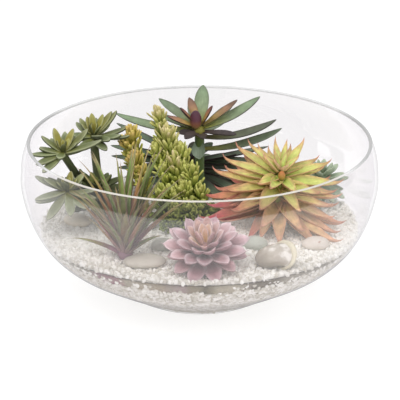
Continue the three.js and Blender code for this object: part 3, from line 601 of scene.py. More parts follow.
# ---------------------------------------------------------------- stones and shell
# Centre, three radii, turn about Z, colours of the stone and of its patches, and the name that its finish and
# piece end in.
PEBBLES = {
    "pebble_white": ([-45, -89, 66.2], [17.5, 12, 5.2], 4, 0xD0C9BC, 0xB8B0A1, "white_stone"),
    "pebble_pale_green": ([-31, -55, 66.5], [9.5, 8, 5.5], 20, 0xC2C0B5, 0xA9A99D, "pale_green_stone"),
    "pebble_grey_green": ([47, -52, 66.8], [11, 9, 6.2], -15, 0xC2C5B9, 0xABAFA2, "grey_green_stone"),
    "pebble_tan": ([97.6, -50, 66], [11.8, 9.4, 5.2], 12, 0xE4DCD2, 0xD2C5B8, "tan_stone"),
    # The beige pebble is drawn lighter than its stone: painted light where the left head shades it.
    "pebble_beige": ([-105, 2, 66.2], [12.5, 9.5, 5.6], -25, 0xF8F0DE, 0xECDFC4, "beige_stone"),
}
SHELL = [61.5, -94, 71.5]  # middle of its box
SHELL_SIZE = [32, 25, 22.6]


def make_stones():
    """River pebbles, worn smooth: a slight sheen over cloudy patches."""
    for seed, (name, (centre, radii, spin, colour, spots, slot)) in enumerate(PEBBLES.items()):
        finish = stone("river_pebble_" + slot, colour, spots, 7, 0.42, 0.08)
        body = egg(centre, radii, spin, around=48, rings=31, rough=0.07, seed=seed, tone=0.5)
        make_piece("stone_" + slot, [body], finish, name)


def make_shell():
    """Moon shell: a circle that grows by 2.9 times a turn while it winds round the axis and slides along it.

    Its spire points away from the front and its mouth down to the right. So its last turn shows as a smooth
    dome, painted whiter beside the mouth as a highlight, and the thickened lip as a cream band on the right.
    It is polished.
    """
    finish, tree, shader = material(
        "polished_moon_shell", Roughness=0.16, Coat_Weight=0.4, Coat_Roughness=0.06)
    along = add(tree, "Attribute", attribute_name="along").outputs["Fac"]
    place = add(tree, "TexCoord").outputs["Object"]
    wave = add(tree, "TexNoise", {"Vector": place, "Scale": 160.0, "Detail": 5.0}).outputs["Fac"]
    shift = add(tree, "Math", {0: wave, 1: 0.16, 2: -0.08}, operation="MULTIPLY_ADD").outputs[0]
    mixed = add(tree, "Math", {0: along, 1: shift}, operation="ADD").outputs[0]
    # Along the last turn the colour darkens, then whitens towards the mouth: the white there is a painted
    # highlight.
    tone = add(tree, "ValToRGB", {"Fac": mixed}, stops=[
        (0.0, 0xE4DCC2), (1.0, 0xEBE6DE), (0.5, 0xC8BCA6),
        (0.84, 0x9C9080), (0.93, 0xAA9F8F), (0.975, 0xC0B7A9),
    ]).outputs[0]
    tree.links.new(tone, shader.inputs["Base Color"])
    turns, grow = 3.4, 2.9
    at = np.linspace(-turns, 0, 240)
    size = grow**at
    wind = at * TAU
    ring = np.arange(40) / 40 * TAU
    axis_far, radius, slide = 5.6, 9.6, 7.4
    across = axis_far * size[:, None] + radius * size[:, None] * np.cos(ring)
    down = -slide * size[:, None] + radius * 1.12 * size[:, None] * np.sin(ring)
    rings = np.stack([across * np.cos(wind)[:, None], across * np.sin(wind)[:, None], down], -1)
    spire = np.array([-0.3, 0.9, 0.3])
    spire /= np.linalg.norm(spire)
    faced = np.array([0.9, 0.1, -0.4])
    faced -= spire * (faced @ spire)
    faced /= np.linalg.norm(faced)
    rings = rings @ np.array([np.cross(faced, spire), faced, spire])
    low, high = rings.reshape(-1, 3).min(0), rings.reshape(-1, 3).max(0)
    rings = (rings - (low + high) / 2) * (np.array(SHELL_SIZE) / (high - low)) + np.array(SHELL)
    mouth = rings[-1]
    body = closed_lofts(rings[None], rings[None, 0].mean(1), mouth.mean(0)[None] - 5 * faced,
                        along=((at + turns) / turns)[None, :, None])
    thick = [2.9, 2.3, 1.4, 1.2, 1.2, 1.5, 2.3, 2.9]
    lip = tube(np.concatenate([mouth, mouth[:3]]), thick, steps=96, along=0)
    make_piece("shell_body", [body, lip], finish, "moon_shell")


# ---------------------------------------------------------------- leaves
# Outline and section of each kind of leaf: width of the root, how fast it widens and narrows, thickness in
# mm, how far the edges are lifted, how full the upper face is, the tip's hook in degrees, how much leaves
# sway sideways, the share of the length that is a thin spike, and how far the face turns to the front.
FORM_KEYS = ("root", "rise", "fall", "thick", "cup", "full", "hook", "sway", "spike", "turn")
FORMS = {
    "lance": (0.5, 0.95, 0.75, 2.2, 0.45, 0.05, 8, 0.03, 0, 0.5),
    "claw": (0.75, 0.45, 1.25, 5.4, 0.7, 0.0, 58, 0.06, 0, 0.8),
    "finger": (0.5, 0.7, 0.7, 6.8, 0.14, 0.55, 14, 0.06, 0, 0.5),
    "petal": (0.3, 1.05, 0.6, 4.4, 0.42, 0.4, 16, 0.05, 0.1, 0.5),
    "blade": (1.3, 0.12, 1.0, 1.4, 0.6, -0.2, -16, 0.08, 0, 0.6),
    "needle": (0.6, 0.6, 0.45, 3.2, 0.1, 0.6, 0, 0.03, 0, 0),
}
FRONT = np.radians(-90)
FACE_TURN = np.radians(32)  # the most that leaves beside the front turn their faces to it


def leaning(azimuth=0.0, tilt=0.0):
    """Turns the Z axis by tilt degrees towards azimuth degrees; the columns are the leant axes."""
    azimuth, tilt = np.radians([azimuth, tilt])
    k = np.array([[0, 0, np.cos(azimuth)], [0, 0, np.sin(azimuth)], [-np.cos(azimuth), -np.sin(azimuth), 0]])
    return np.eye(3) + np.sin(tilt) * k + (1 - np.cos(tilt)) * k @ k


def leaves(kind, rows, centre, lean=(0, 0), core=0.0, inner=None, rings=24, around=14, seed=1, roots=None,
           painted_shading=0.0):
    """Closed leaves from rows of height on the axis, azimuth, elevation, bend, length and width.

    Centre line: it leaves the axis at the elevation and turns up evenly by the bend, with the hook in its
    last third, summed from its direction. Section: x = cos(angle) times the half width and y = sin(angle)
    times the thickness, plus an edge lift of cup times |x| to the 1.7. Half width: the form's outline at t
    along the leaf. inner is the share of a young leaf's colours. The last argument is the share of the back's
    colour put on the upper face: painted shade where the back is darker, painted light where it is paler.
    """
    form = dict(zip(FORM_KEYS, FORMS[kind]))
    rng, axes = np.random.default_rng(seed), leaning(*lean)
    height, azimuth, elevation, bend, length, width = np.array(rows, float).T
    turn, rise, curl = np.radians([azimuth, elevation, bend])
    count = len(turn)
    out = np.cos(turn)[:, None] * axes[:, 0] + np.sin(turn)[:, None] * axes[:, 1]
    level = -np.sin(turn)[:, None] * axes[:, 0] + np.cos(turn)[:, None] * axes[:, 1]
    up = axes[:, 2]
    start = core * np.cos(rise)
    size = (length - start)[:, None]
    t = np.append(1 - (1 - np.linspace(0, 1, rings + 1)[:-1]) ** 1.25, 1.0)
    angle = rise[:, None] + curl[:, None] * t + np.radians(form["hook"]) * np.clip((t - 0.7) / 0.3, 0, 1) ** 2
    step = np.diff(t)
    middle = (angle[:, 1:] + angle[:, :-1]) / 2
    zero = np.zeros((count, 1))
    far = start[:, None] + size * np.concatenate([zero, np.cumsum(np.cos(middle) * step, 1)], 1)
    high = size * np.concatenate([zero, np.cumsum(np.sin(middle) * step, 1)], 1)
    aside = size * rng.normal(0, form["sway"], (count, 1)) * t**2
    origin = np.asarray(centre, float) + height[:, None] * up if roots is None else roots
    line = (origin[:, None] + out[:, None] * far[..., None] + up * high[..., None]
            + level[:, None] * aside[..., None])
    roll = -form["turn"] * FACE_TURN * np.sin(turn - FRONT) * np.cos(rise) + rng.normal(0, 0.07, count)
    roll = roll[:, None] + rng.normal(0, 0.12, (count, 1)) * t
    upright = up * np.cos(angle)[..., None] - out[:, None] * np.sin(angle)[..., None]
    level = np.broadcast_to(level[:, None], upright.shape)
    sideways = level * np.cos(roll)[..., None] - upright * np.sin(roll)[..., None]
    normal = upright * np.cos(roll)[..., None] + level * np.sin(roll)[..., None]
    peak = form["rise"] / (form["rise"] + form["fall"])
    u = np.minimum(t / (1 - form["spike"]), 1)
    hump = (u / peak) ** form["rise"] * ((1 - u) / (1 - peak)) ** form["fall"]
    foot = form["root"] * (1 - t) ** 2
    share = np.maximum(foot + (1 - foot) * hump, np.sign(form["spike"]) * 0.1 * (1 - t) ** 0.5)
    half = width[:, None] * share / 2
    deep = np.minimum(form["thick"], 0.55 * width)[:, None] * np.sqrt(share) / 2
    phi = np.arange(around) / around * TAU
    x, y = np.cos(phi), np.sin(phi)
    swell = np.where(y > 0, form["full"] * y, y) * deep[..., None]
    rise_y = swell + form["cup"] * half[..., None] * np.abs(x) ** 1.7
    rings_xyz = (line[:, :, None] + sideways[:, :, None] * (half[..., None] * x)[..., None]
                 + normal[:, :, None] * rise_y[..., None])[:, :-1]
    inner = np.zeros(count) if inner is None else inner
    grain = np.stack(np.broadcast_arrays(half[:, :-1, None] * x, (length[:, None] * t)[:, :-1, None] + 0 * x,
                                         (17.0 * np.arange(count) + 100 * seed)[:, None, None] + 0 * x), -1)
    # Painted shading: the back's colour put on the upper face of chosen leaves.
    lit = 1 - np.broadcast_to(painted_shading, (count,)).astype(float)
    return closed_lofts(
        rings_xyz, line[:, 0], line[:, -1], along=t[None, :-1, None], across=x[None, None],
        upper=np.clip(0.5 + 2 * y, 0, 1)[None, None] * lit[:, None, None],
        tone=rng.uniform(0, 1, count)[:, None, None],
        inner=np.asarray(inner, float)[:, None, None], grain=grain)


def standing(foot, head, radius, **more):
    """A stalk pushed straight into the filling at its foot and bent to its head."""
    x, y = foot
    route = [[x, y, STEM_FOOT], [x, y, FOAM_TOP], [x, y, COLLAR], head]
    return tube(route, radius, **more)


# ---------------------------------------------------------------- tall rosette and dark rosette
TALL = {"centre": [0, 60, 130], "foot": [0, 60], "stem": 4.2}
TALL_LEAVES = [
    [1, 84.5, 32, 8, 47, 13], [0, 150, 25, 8, 46, 10], [-3, 173, -5, 28, 77, 12], [0, 6, 11, 32, 61, 14.5],
    [2, 14, 28, 12, 41, 7.5], [-9, -4, -5, 42, 72, 11.5], [-20, -3, 0, 34, 77, 10.5], [-3, -30, 2, 8, 38, 9],
    [1, -171, 20, 8, 31, 8], [-3, -122, -2, 6, 25, 9], [-4, -82, 2, 8, 24, 9.5], [3, 196, 46, 6, 26, 6.5],
    [3, 124, 48, 6, 28, 8.5], [3, 5, 58, 8, 22, 6.5], [-4, 96, 9, 10, 54, 11.5], [-6, 120, -4, 10, 48, 10.5],
    [-6, 60, -6, 8, 50, 10.5], [-2, 164, 14, 8, 40, 9], [-4, -160, 0, 10, 20, 8], [0, 30, 22, 10, 40, 9],
]
# By row: share of the rose-brown of young leaves, and share of the back's colour on the upper face, which is
# painted shade on the low leaves and one behind.
TALL_YOUNG = {4: 0.75, 8: 0.9, 11: 1, 12: 0.8, 13: 1}
TALL_PAINTED_SHADE = {1: 0.3, 5: 0.6, 7: 1.0, 10: 1.0, 9: 1.0, 18: 1.0, 6: 0.25}


def shares(count, some):
    """An array of zeros with some of its items set."""
    values = np.zeros(count)
    values[list(some)] = list(some.values())
    return values


DARK = {"centre": [-8, 88, 88], "foot": [-8, 88], "stem": 3.6}
DARK_LEAVES = [
    [3, 174, 24, 4, 74, 10], [1, 181, 9, 6, 73, 10.5], [-1, 188, 5, 6, 72, 10], [-3, 199, 0, 6, 67, 10],
    [1, -9, 10, 5, 43, 10], [-1, -11, 5, 6, 60, 10], [0, 1, 8, 6, 71, 9.5], [-3, 62, -8, 8, 38, 10],
    [-3, 92, -6, 8, 42, 10.5], [-3, 122, -6, 8, 42, 10.5], [3, 30, 26, 6, 26, 9], [3, 150, 28, 6, 26, 9],
    [4, 80, 40, 6, 18, 8], [3, -50, 40, 6, 18, 7], [3, 220, 40, 6, 18, 7],
]
DARK_LOW = [
    [-6, -14, -10, 4, 58, 10], [-8, -28, -16, 4, 60, 10], [-10, -40, -18, 4, 62, 10],
    [-12, -20, -20, 6, 56, 9.5], [-8, -55, -18, 4, 52, 9], [-4, -3, -4, 6, 64, 9],
    [-12, -6, -16, 4, 58, 9], [-14, -33, -22, 6, 58, 9], [-10, 6, -14, 6, 62, 9.5],
    [-6, -70, -20, 4, 40, 9], [-8, 205, -12, 4, 56, 9], [-10, 222, -18, 4, 50, 9],
    [-6, 190, -8, 4, 60, 9], [-10, 240, -20, 4, 44, 9], [-12, 178, -14, 4, 54, 9],
]


def make_tall():
    """Lance leaves with a dusty, satin face, a darker bud, and a plain moulded stem with a flap leaf."""
    lance = leaf_plastic(
        "sprayed_pvc_grey_green",
        outer=[(0.0, 0x84823A), (1.0, 0x7C8C72), (0.14, 0x8E9254), (0.45, 0x8A9877), (0.85, 0x859779)],
        inner=[(0.0, 0x8A7A3A), (1.0, 0x6A4448), (0.3, 0xB29250), (0.65, 0xA4745A)],
        edge=(0x4A3A3C, 0.3), under=(0x41303A, 0.9), roughness=0.45, gloss=0.3)
    count = len(TALL_LEAVES)
    head = leaves("lance", TALL_LEAVES, TALL["centre"], core=4, inner=shares(count, TALL_YOUNG),
                  painted_shading=shares(count, TALL_PAINTED_SHADE), rings=34, around=20, seed=21)
    x, y, z = TALL["centre"]
    core = egg([x, y, z - 4], [5.2, 5.2, 6], along=0, upper=1)
    make_piece("tall_rosette_leaves", [head, core], lance, "tall_head")

    purple = leaf_plastic(
        "sprayed_pvc_bud", outer=[(0.0, 0x968A50), (1.0, 0x50303C), (0.3, 0x92664A), (0.55, 0x643C46)],
        inner=[(0.0, 0x7C7440), (1.0, 0x4A2C38)], edge=(0x4A2C38, 0.0), under=(0x4A2C38, 0.0), roughness=0.38)
    bud = egg([x - 3.4, y - 1, z + 7.6], [5.2, 5.2, 8.8], rings=24, around=32)
    make_piece("tall_rosette_bud", [bud], purple, "tall_bud")

    green = leaf_plastic(
        "moulded_pvc_green_stem", outer=[(0.0, 0x4C5A33), (1.0, 0x5E7440), (0.6, 0x4F6A3C)],
        inner=[(0.0, 0x84947C), (1.0, 0x94A28E)], edge=(0x788874, 0.4), under=(0x84947C, 0.5), roughness=0.5)
    stalk = standing(TALL["foot"], [x, y, z - 6], TALL["stem"], around=20, upper=1)
    flap = leaves("lance", [[-12, -98, -52, -12, 17, 12.5]], TALL["centre"], inner=[1], core=1, seed=3)
    make_piece("tall_rosette_stem", [stalk, flap], green, "tall_stem")


def make_dark():
    """The dark rosette behind the sedum, on a short stalk."""
    deep = leaf_plastic(
        "sprayed_pvc_dark_green",
        outer=[(0.0, 0x3A3432), (1.0, 0x707C68), (0.3, 0x525C4C), (0.7, 0x76866F)],
        inner=[(0.0, 0x3E2C30), (1.0, 0x5A3A42), (0.5, 0x4C4C3E)],
        edge=(0x553A42, 0.65), under=(0x4C3C40, 0.85), roughness=0.45, gloss=0.3)
    rows = np.array(DARK_LEAVES + DARK_LOW, float)
    head = leaves("lance", rows, DARK["centre"], core=3.6, inner=smooth_share(rows[:, 2], 28, 50),
                  rings=30, around=16, seed=23)
    core = egg(DARK["centre"], [6.5, 6.5, 8], along=0, upper=1)
    stalk = standing(DARK["foot"], DARK["centre"], DARK["stem"])
    make_piece("dark_rosette_leaves", [head, core, stalk], deep, "dark_rosette")


# ---------------------------------------------------------------- left succulent
LEFT_HEADS = {
    "left_head_wall": ([-116, 0, 129], 4.2, [
        [1, 143, 60, 8, 22, 7], [1, 167, 32, 8, 23, 7], [0, 197, 14, 8, 22, 7], [0, 205, 1, 6, 29, 7.5],
        [-1, 222, -8, 6, 31, 7.5], [-1, -124, -20, 6, 31, 7.5], [0, -100, -2, 6, 17, 7],
        [0, -8, 17, 8, 36, 8], [1, 20, 34, 8, 29, 7], [1, 50, 54, 8, 22, 6.5],
        [0, 82, 24, 8, 25, 7], [0, 118, 12, 8, 23, 7]]),
    "left_head_back": ([-92, 41, 130], 4, [
        [1, 95, 66, 6, 19, 6], [1, 42, 52, 6, 20, 6], [1, 26, 44, 8, 26, 7], [0, 16, 40, 10, 30, 7.5],
        [-1, -20, 1, 14, 35, 7], [-1, -47, 4, 8, 25, 7], [0, -75, 14, 8, 22, 7], [1, 125, 56, 6, 17, 6],
        [0, 150, 38, 8, 20, 6.5], [-1, 90, 14, 8, 27, 7], [-1, 58, 12, 8, 26, 7], [-1, 128, 10, 8, 26, 7],
        [-1, 188, 6, 8, 20, 7]]),
    "left_head_low": ([-112, -18, 101], 4.2, [
        [1, 174, 20, 8, 30, 7.5], [1, 196, 30, 6, 24, 7], [0, 208, -8, 6, 31, 8], [-1, -124, -34, 6, 34, 8],
        [-1, -76, -30, 6, 29, 8], [0, -30, -9, 6, 28, 8], [1, 24, 38, 8, 21, 7], [1, 66, 58, 6, 17, 6],
        [0, 108, 6, 8, 23, 7], [0, 60, 2, 8, 22, 7], [0, 142, 12, 8, 24, 7], [2, -100, 40, 8, 17, 6]]),
    "left_head_inner": ([-88, 6, 92], 3.8, [
        [0, -90, -6, 8, 22, 7], [0, -35, 4, 8, 24, 7.5], [0, 15, 0, 8, 23, 7.5], [0, 150, 10, 8, 20, 7],
        [1, 200, 32, 8, 17, 6.5], [1, -62, 40, 8, 20, 6.5], [1, -10, 48, 8, 20, 6.5], [1, 55, 30, 8, 20, 7],
        [1, 120, 52, 6, 17, 6], [0, 180, 20, 8, 30, 9], [0, -150, 5, 8, 30, 9], [0, 165, 38, 8, 26, 8],
        [-1, -120, -12, 8, 28, 9], [1, 140, 28, 8, 24, 8], [2, 190, 50, 8, 24, 8]]),
}
# Lower leaves of the four heads, in the same order.
LEFT_SKIRTS = [
    [[-2, 30, 8, 8, 26, 7], [-3, 60, 0, 8, 24, 7], [-2, 150, 2, 8, 24, 7]],
    [[-2, 0, 12, 12, 32, 7], [-3, 300, -12, 10, 26, 7], [-3, 240, -10, 8, 24, 7], [-2, 330, 10, 10, 30, 7],
     [-3, 170, -6, 8, 24, 7], [-3, 110, 0, 8, 24, 7]],
    [[-3, 190, -18, 8, 28, 8], [-2, 345, 8, 8, 26, 7], [-3, 310, -18, 8, 28, 7.5], [-2, 84, 20, 8, 22, 7]],
    [[-3, 210, -8, 8, 26, 7.5], [-4, 240, -18, 8, 26, 7.5], [-4, 290, -22, 8, 28, 8],
     [-3, 340, -14, 8, 28, 8], [-4, 30, -10, 8, 26, 7.5], [-5, 265, -34, 8, 24, 7.5],
     [-5, 320, -36, 8, 24, 7.5], [3, 300, 20, 8, 26, 7],
     [4, 250, 26, 8, 24, 7], [4, 340, 24, 8, 26, 7], [-7, 0, -30, 8, 26, 7.5], [-7, 200, -30, 8, 24, 7.5]],
]
LEFT_STEM = {"foot": [-86, 30], "stem": 4}


def heart(count, first, length, width):
    """Rows of young leaves by the golden angle, which stand up in the middle of a head."""
    order = np.arange(count)
    share = order / (count - 1)
    return np.stack([1 + share, first + order * GOLDEN_ANGLE, 34 + 44 * share, 8 + 0 * share,
                     length * (1 - 0.35 * share), width * (1 - 0.3 * share)], -1)


def make_left():
    """Four heads of finger leaves, matt with flock, on a branching stem."""
    olive = leaf_plastic(
        "flocked_pvc_olive",
        outer=[(0.0, 0x84823C), (1.0, 0x989C7C), (0.25, 0x6E7444), (0.7, 0x707854)],
        inner=[(0.0, 0x8E822A), (1.0, 0xA29E60), (0.5, 0x908A3C)],
        edge=(0xAEB290, 0.5, 0.5), under=(0x444C2E, 0.85), roughness=0.6)
    # Darker and paler copies of the olive: painted shade in the thick of the inner head, painted light on the
    # low head.
    shade = leaf_plastic(
        "flocked_pvc_olive_painted_shade", outer=[(0.0, 0x3E4428), (1.0, 0x5A6242), (0.5, 0x484F30)],
        inner=[(0.0, 0x62662C), (1.0, 0x74783E)], edge=(0x687052, 0.4), under=(0x30361F, 0.7), roughness=0.6)
    pale = leaf_plastic(
        "flocked_pvc_olive_painted_light",
        outer=[(0.0, 0x84823C), (1.0, 0xA6AA8E), (0.25, 0x747A4A), (0.7, 0x848B6A)],
        inner=[(0.0, 0x8E822A), (1.0, 0xA8A468), (0.5, 0x908A3C)],
        edge=(0xB8BC9E, 0.5, 0.5), under=(0x4C5436, 0.85), roughness=0.6)
    finishes = {"left_head_low": pale, "left_head_inner": shade}
    for seed, (node, (centre, core, rows)) in enumerate(LEFT_HEADS.items()):
        table = np.concatenate([np.array(rows, float), heart(7, 40 * seed, 15, 5), LEFT_SKIRTS[seed]])
        young = smooth_share(table[:, 2], 26, 56)
        table[:, 5] *= 1.14
        # The back head takes a little of the back's colour on its upper faces: painted shade.
        head = leaves("finger", table, centre, core=2.4, inner=young, rings=26, around=18, seed=31 + seed,
                      painted_shading=0.15 * (node == "left_head_back"))
        middle = egg(np.array(centre) - [0, 0, 2], [core * 0.7, core * 0.7, core], inner=0.5)
        make_piece(node + "_leaves", [head, middle], finishes.get(node, olive), node)
    bark = leaf_plastic(
        "moulded_pvc_olive_stem", outer=[(0.0, 0x3E4630), (1.0, 0x545E3A), (0.6, 0x4A5236)],
        inner=[(0.0, 0x4A5236), (1.0, 0x4A5236)], edge=(0x4A5236, 0.0), under=(0x4A5236, 0.0), roughness=0.62)
    foot, thick = LEFT_STEM["foot"], LEFT_STEM["stem"]
    wall, back, low, inner = [centre for centre, _, _ in LEFT_HEADS.values()]
    lower = lambda point: [point[0], point[1], point[2] - 2]
    branches = [standing(foot, lower(back), [thick, thick, 3.6], around=18, upper=1)]
    for height, middle, end, radius in ((72, [-103, 14, 100], wall, 3.2), (70, [-101, 4, 84], low, 3),
                                        (69, [-88, 14, 80], inner, 2.8)):
        branches.append(tube([[*foot, height], middle, lower(end)], radius, around=16, upper=1))
    make_piece("left_stem_bark", branches, bark, "left_stem")


# ---------------------------------------------------------------- sedum
# Foot of each clump, and its shoots as lower end, tip and length of the leaves.
SEDUM = {
    "sedum_green": ([-16, 14], [
        [[-20, 20, 84], [-28, 27, 142], 15], [[-13, 15, 82], [-17, 21, 129], 13.5],
        [[-27, 33, 104], [-36, 46, 152], 12], [[-31, 22, 104], [-39, 25, 127], 9.5],
        [[-6, 6, 80], [-6, 8, 113], 11], [[2, -3, 78], [1, -4, 99], 10],
        [[-21, 2, 74], [-25, -7, 99], 11], [[-9, -6, 72], [-10, -16, 90], 11],
        [[-30, 8, 74], [-36, 1, 95], 11], [[-18, 12, 90], [-22, 14, 122], 14],
        [[-13, 2, 74], [-15, -5, 104], 11.5], [[-26, 14, 86], [-32, 16, 112], 11],
        [[-2, -2, 72], [-2, -14, 87], 10], [[-18, -4, 72], [-21, -18, 86], 10],
        [[-12, 12, 86], [-13, 12, 114], 11], [[-12, -8, 70], [-13, -31, 72], 9.5],
        [[-22, -6, 70], [-29, -27, 73], 9.5], [[-2, -8, 70], [5, -28, 73], 9.5],
        [[-32, 2, 71], [-44, -14, 76], 9.5], [[4, 2, 72], [13, -9, 82], 9.5],
        [[-17, -8, 71], [-21, -22, 80], 9.5], [[-6, -8, 71], [-4, -20, 81], 9.5]]),
    "sedum_gold": ([-48, 30], [
        [[-52, 36, 96], [-60, 36, 137], 12.5], [[-51, 24, 88], [-57, 19, 121], 12.5],
        [[-56, 34, 104], [-65, 34, 130], 9.5], [[-48, 26, 84], [-50, 18, 108], 10.5]]),
}
WHORL = 6.6  # distance between two whorls on a shoot
BRUSH = 13  # leaves on the end of a shoot
PALE_SHOOTS = (0, 2, 9)  # green shoots with young, pale leaves


def whorl(outer, inner):
    """Elevations and turns of the leaves of one whorl: the outer ones spread out, the inner ones upright."""
    turn = np.concatenate([np.arange(outer) * 360 / outer, 20 + np.arange(inner) * 360 / inner])
    return np.repeat([46.0, 72.0], [outer, inner]), turn


def shoot(foot, row, seed, young):
    """A slim stalk with whorls of blunt leaves, some spread out round upright ones, and a brush on its end.

    Each leaf's turn, elevation and length are jittered, and the roots stand a little way out from the axis. A
    young shoot has more and finer leaves.
    """
    first, top, reach = row
    fine = young > 0.5
    spread, step = whorl(7, 5) if fine else whorl(5, 4)
    reach = reach if fine else 1.12 * reach
    first, top = np.array(first, float), np.array(top, float)
    line = top - first
    run = np.linalg.norm(line) - reach * 0.85
    line /= np.linalg.norm(line)
    tilt = np.degrees(np.arccos(line[2]))
    azimuth = np.degrees(np.arctan2(line[1], line[0]))
    axes = leaning(azimuth, tilt)
    rng = np.random.default_rng(seed)
    levels = max(2, int(run / WHORL) + 1)
    count = levels * len(spread) + BRUSH
    level = np.append(np.repeat(np.arange(levels), len(spread)), np.full(BRUSH, levels - 1))
    share = level / (levels - 1)
    end = np.arange(count) >= count - BRUSH
    turn = np.append(np.tile(step, levels), np.arange(BRUSH) * GOLDEN_ANGLE) + level * 67 + seed * 40
    turn = turn + rng.normal(0, 9, count)
    elevation = np.append(np.tile(spread, levels), np.linspace(66, 88, BRUSH)) + rng.normal(0, 9, count)
    ray = np.cos(np.radians(turn))[:, None] * axes[:, 0] + np.sin(np.radians(turn))[:, None] * axes[:, 1]
    stand = np.where(end, np.linspace(0.26, 0.02, count)[::-1] * rng.uniform(0.2, 1, count), 0.14) * reach
    length = reach * rng.uniform(0.88, 1.14, count) * (1.06 - 0.12 * share)
    width = np.where(end, 3.0, 3.8) * (1 if fine else 1.18) * rng.uniform(0.85, 1.1, count)
    rows = np.stack([0 * share, turn, elevation, np.where(end, 6, 18), length, width], -1)
    tips = smooth_share(share + 0.35 * end, 0.45, 1.2) * young
    roots = first + line * (run * share + rng.normal(0, 2, count))[:, None] + ray * stand[:, None]
    needles = leaves("needle", rows, first, (azimuth, tilt), inner=tips, rings=7, around=7, seed=seed,
                     roots=roots)
    # Needles low in the clump take the darker back's colour by height: painted shade at its foot.
    needles["marks"]["upper"] = smooth_share(needles["points"][:, 2], 70, 104)
    halfway = (np.array([*foot, COLLAR]) + first) / 2
    branch = tube([[*foot, COLLAR + 0.6], halfway, first], 2.0, around=8, steps=10)
    stem = tube([first - 2 * line, first + line * run], [2.4, 2.6], around=8, steps=8)
    return [needles, branch, stem]


def make_sedum():
    """Two clumps of shoots, the green one with some pale shoots and the golden one."""
    # In both finishes the dark stops at the leaves' roots are painted shade deep in the clumps.
    lime = leaf_plastic(
        "moulded_pvc_sedum_green",
        outer=[(0.0, 0x445220), (1.0, 0xBEC264), (0.35, 0x7C8A36), (0.75, 0xA8AE4E)],
        inner=[(0.0, 0x666C2E), (1.0, 0xDAC8A0), (0.45, 0xA4A454), (0.75, 0xC6BA7E)],
        edge=(0xC4C672, 0.25), under=(0x5C7020, 0.75), roughness=0.55, streak=0.2)
    gold = leaf_plastic(
        "moulded_pvc_sedum_gold",
        outer=[(0.0, 0x5E6628), (1.0, 0xCCC664), (0.4, 0x8E943C)],
        inner=[(0.0, 0x706E2C), (1.0, 0xD8B872), (0.5, 0xAEA44A)],
        edge=(0xC4AC56, 0.25), under=(0x665C20, 0.2), roughness=0.55, streak=0.2)
    finishes = {"sedum_green": (lime, "sedum_leaf"), "sedum_gold": (gold, "gold_sedum_leaf")}
    for node, (foot, shoots) in SEDUM.items():
        finish, slot = finishes[node]
        parts = [standing(foot, [*foot, COLLAR + 2], 3), egg([*foot, COLLAR], [4.6, 4.6, 4.2])]
        for i, row in enumerate(shoots):
            young = 1.0 if i in PALE_SHOOTS or node == "sedum_gold" else 0.25
            parts += shoot(foot, row, i, young)
        make_piece(node + "_shoots", parts, finish, node)


# ---------------------------------------------------------------- air plant
AIR_PLANT = {"centre": [-62, -77, 66], "foot": [-62, -77], "stem": 3}
AIR_BLADES = [
    [0, 138, 72, -20, 93, 6.5], [0, 124, 68, -18, 91, 6.5], [0, 171, 65, -24, 72, 7],
    [0, 149, 62, -20, 74, 6.5], [0, 56, 71, -12, 98, 7.5], [0, 33, 75, -14, 93, 6.5],
    [0, 70, 77, -10, 84, 6.5], [0, 93, 78, -10, 94, 7.5], [0, 7, 70, -18, 75, 6.5],
    [0, 13, 59, -16, 76, 6], [0, 5, 52, -16, 78, 5.5], [0, 163, 27, -22, 49, 4.5],
    [0, -93, 75, -14, 53, 10.5], [0, -24, 46, -18, 44, 7], [0, -172, 69, -18, 65, 8],
    [0, 104, 62, -16, 79, 7.5], [0, 72, 56, -16, 68, 7.5], [0, -146, 66, -18, 51, 8.5],
    [0, -50, 74, -12, 60, 8.5], [0, -10, 82, -8, 68, 8], [0, 160, 80, -10, 72, 8],
    [0, 48, 82, -8, 74, 7.5], [0, 110, 84, -6, 80, 7.5], [0, -120, 78, -12, 48, 9],
    [0, 62, 79, -10, 97, 5], [0, 44, 77, -16, 99, 4.5], [0, 82, 74, -14, 96, 5],
    [0, 22, 72, -20, 90, 4.5], [0, 132, 76, -26, 90, 4], [0, 146, 70, -30, 88, 4],
    [0, 178, 72, -30, 72, 4], [0, 100, 81, -12, 88, 5], [0, 14, 66, -22, 86, 4], [0, 0, 62, -24, 76, 4],
    [0, 36, 68, -24, 92, 4], [0, 118, 74, -24, 94, 4],
]


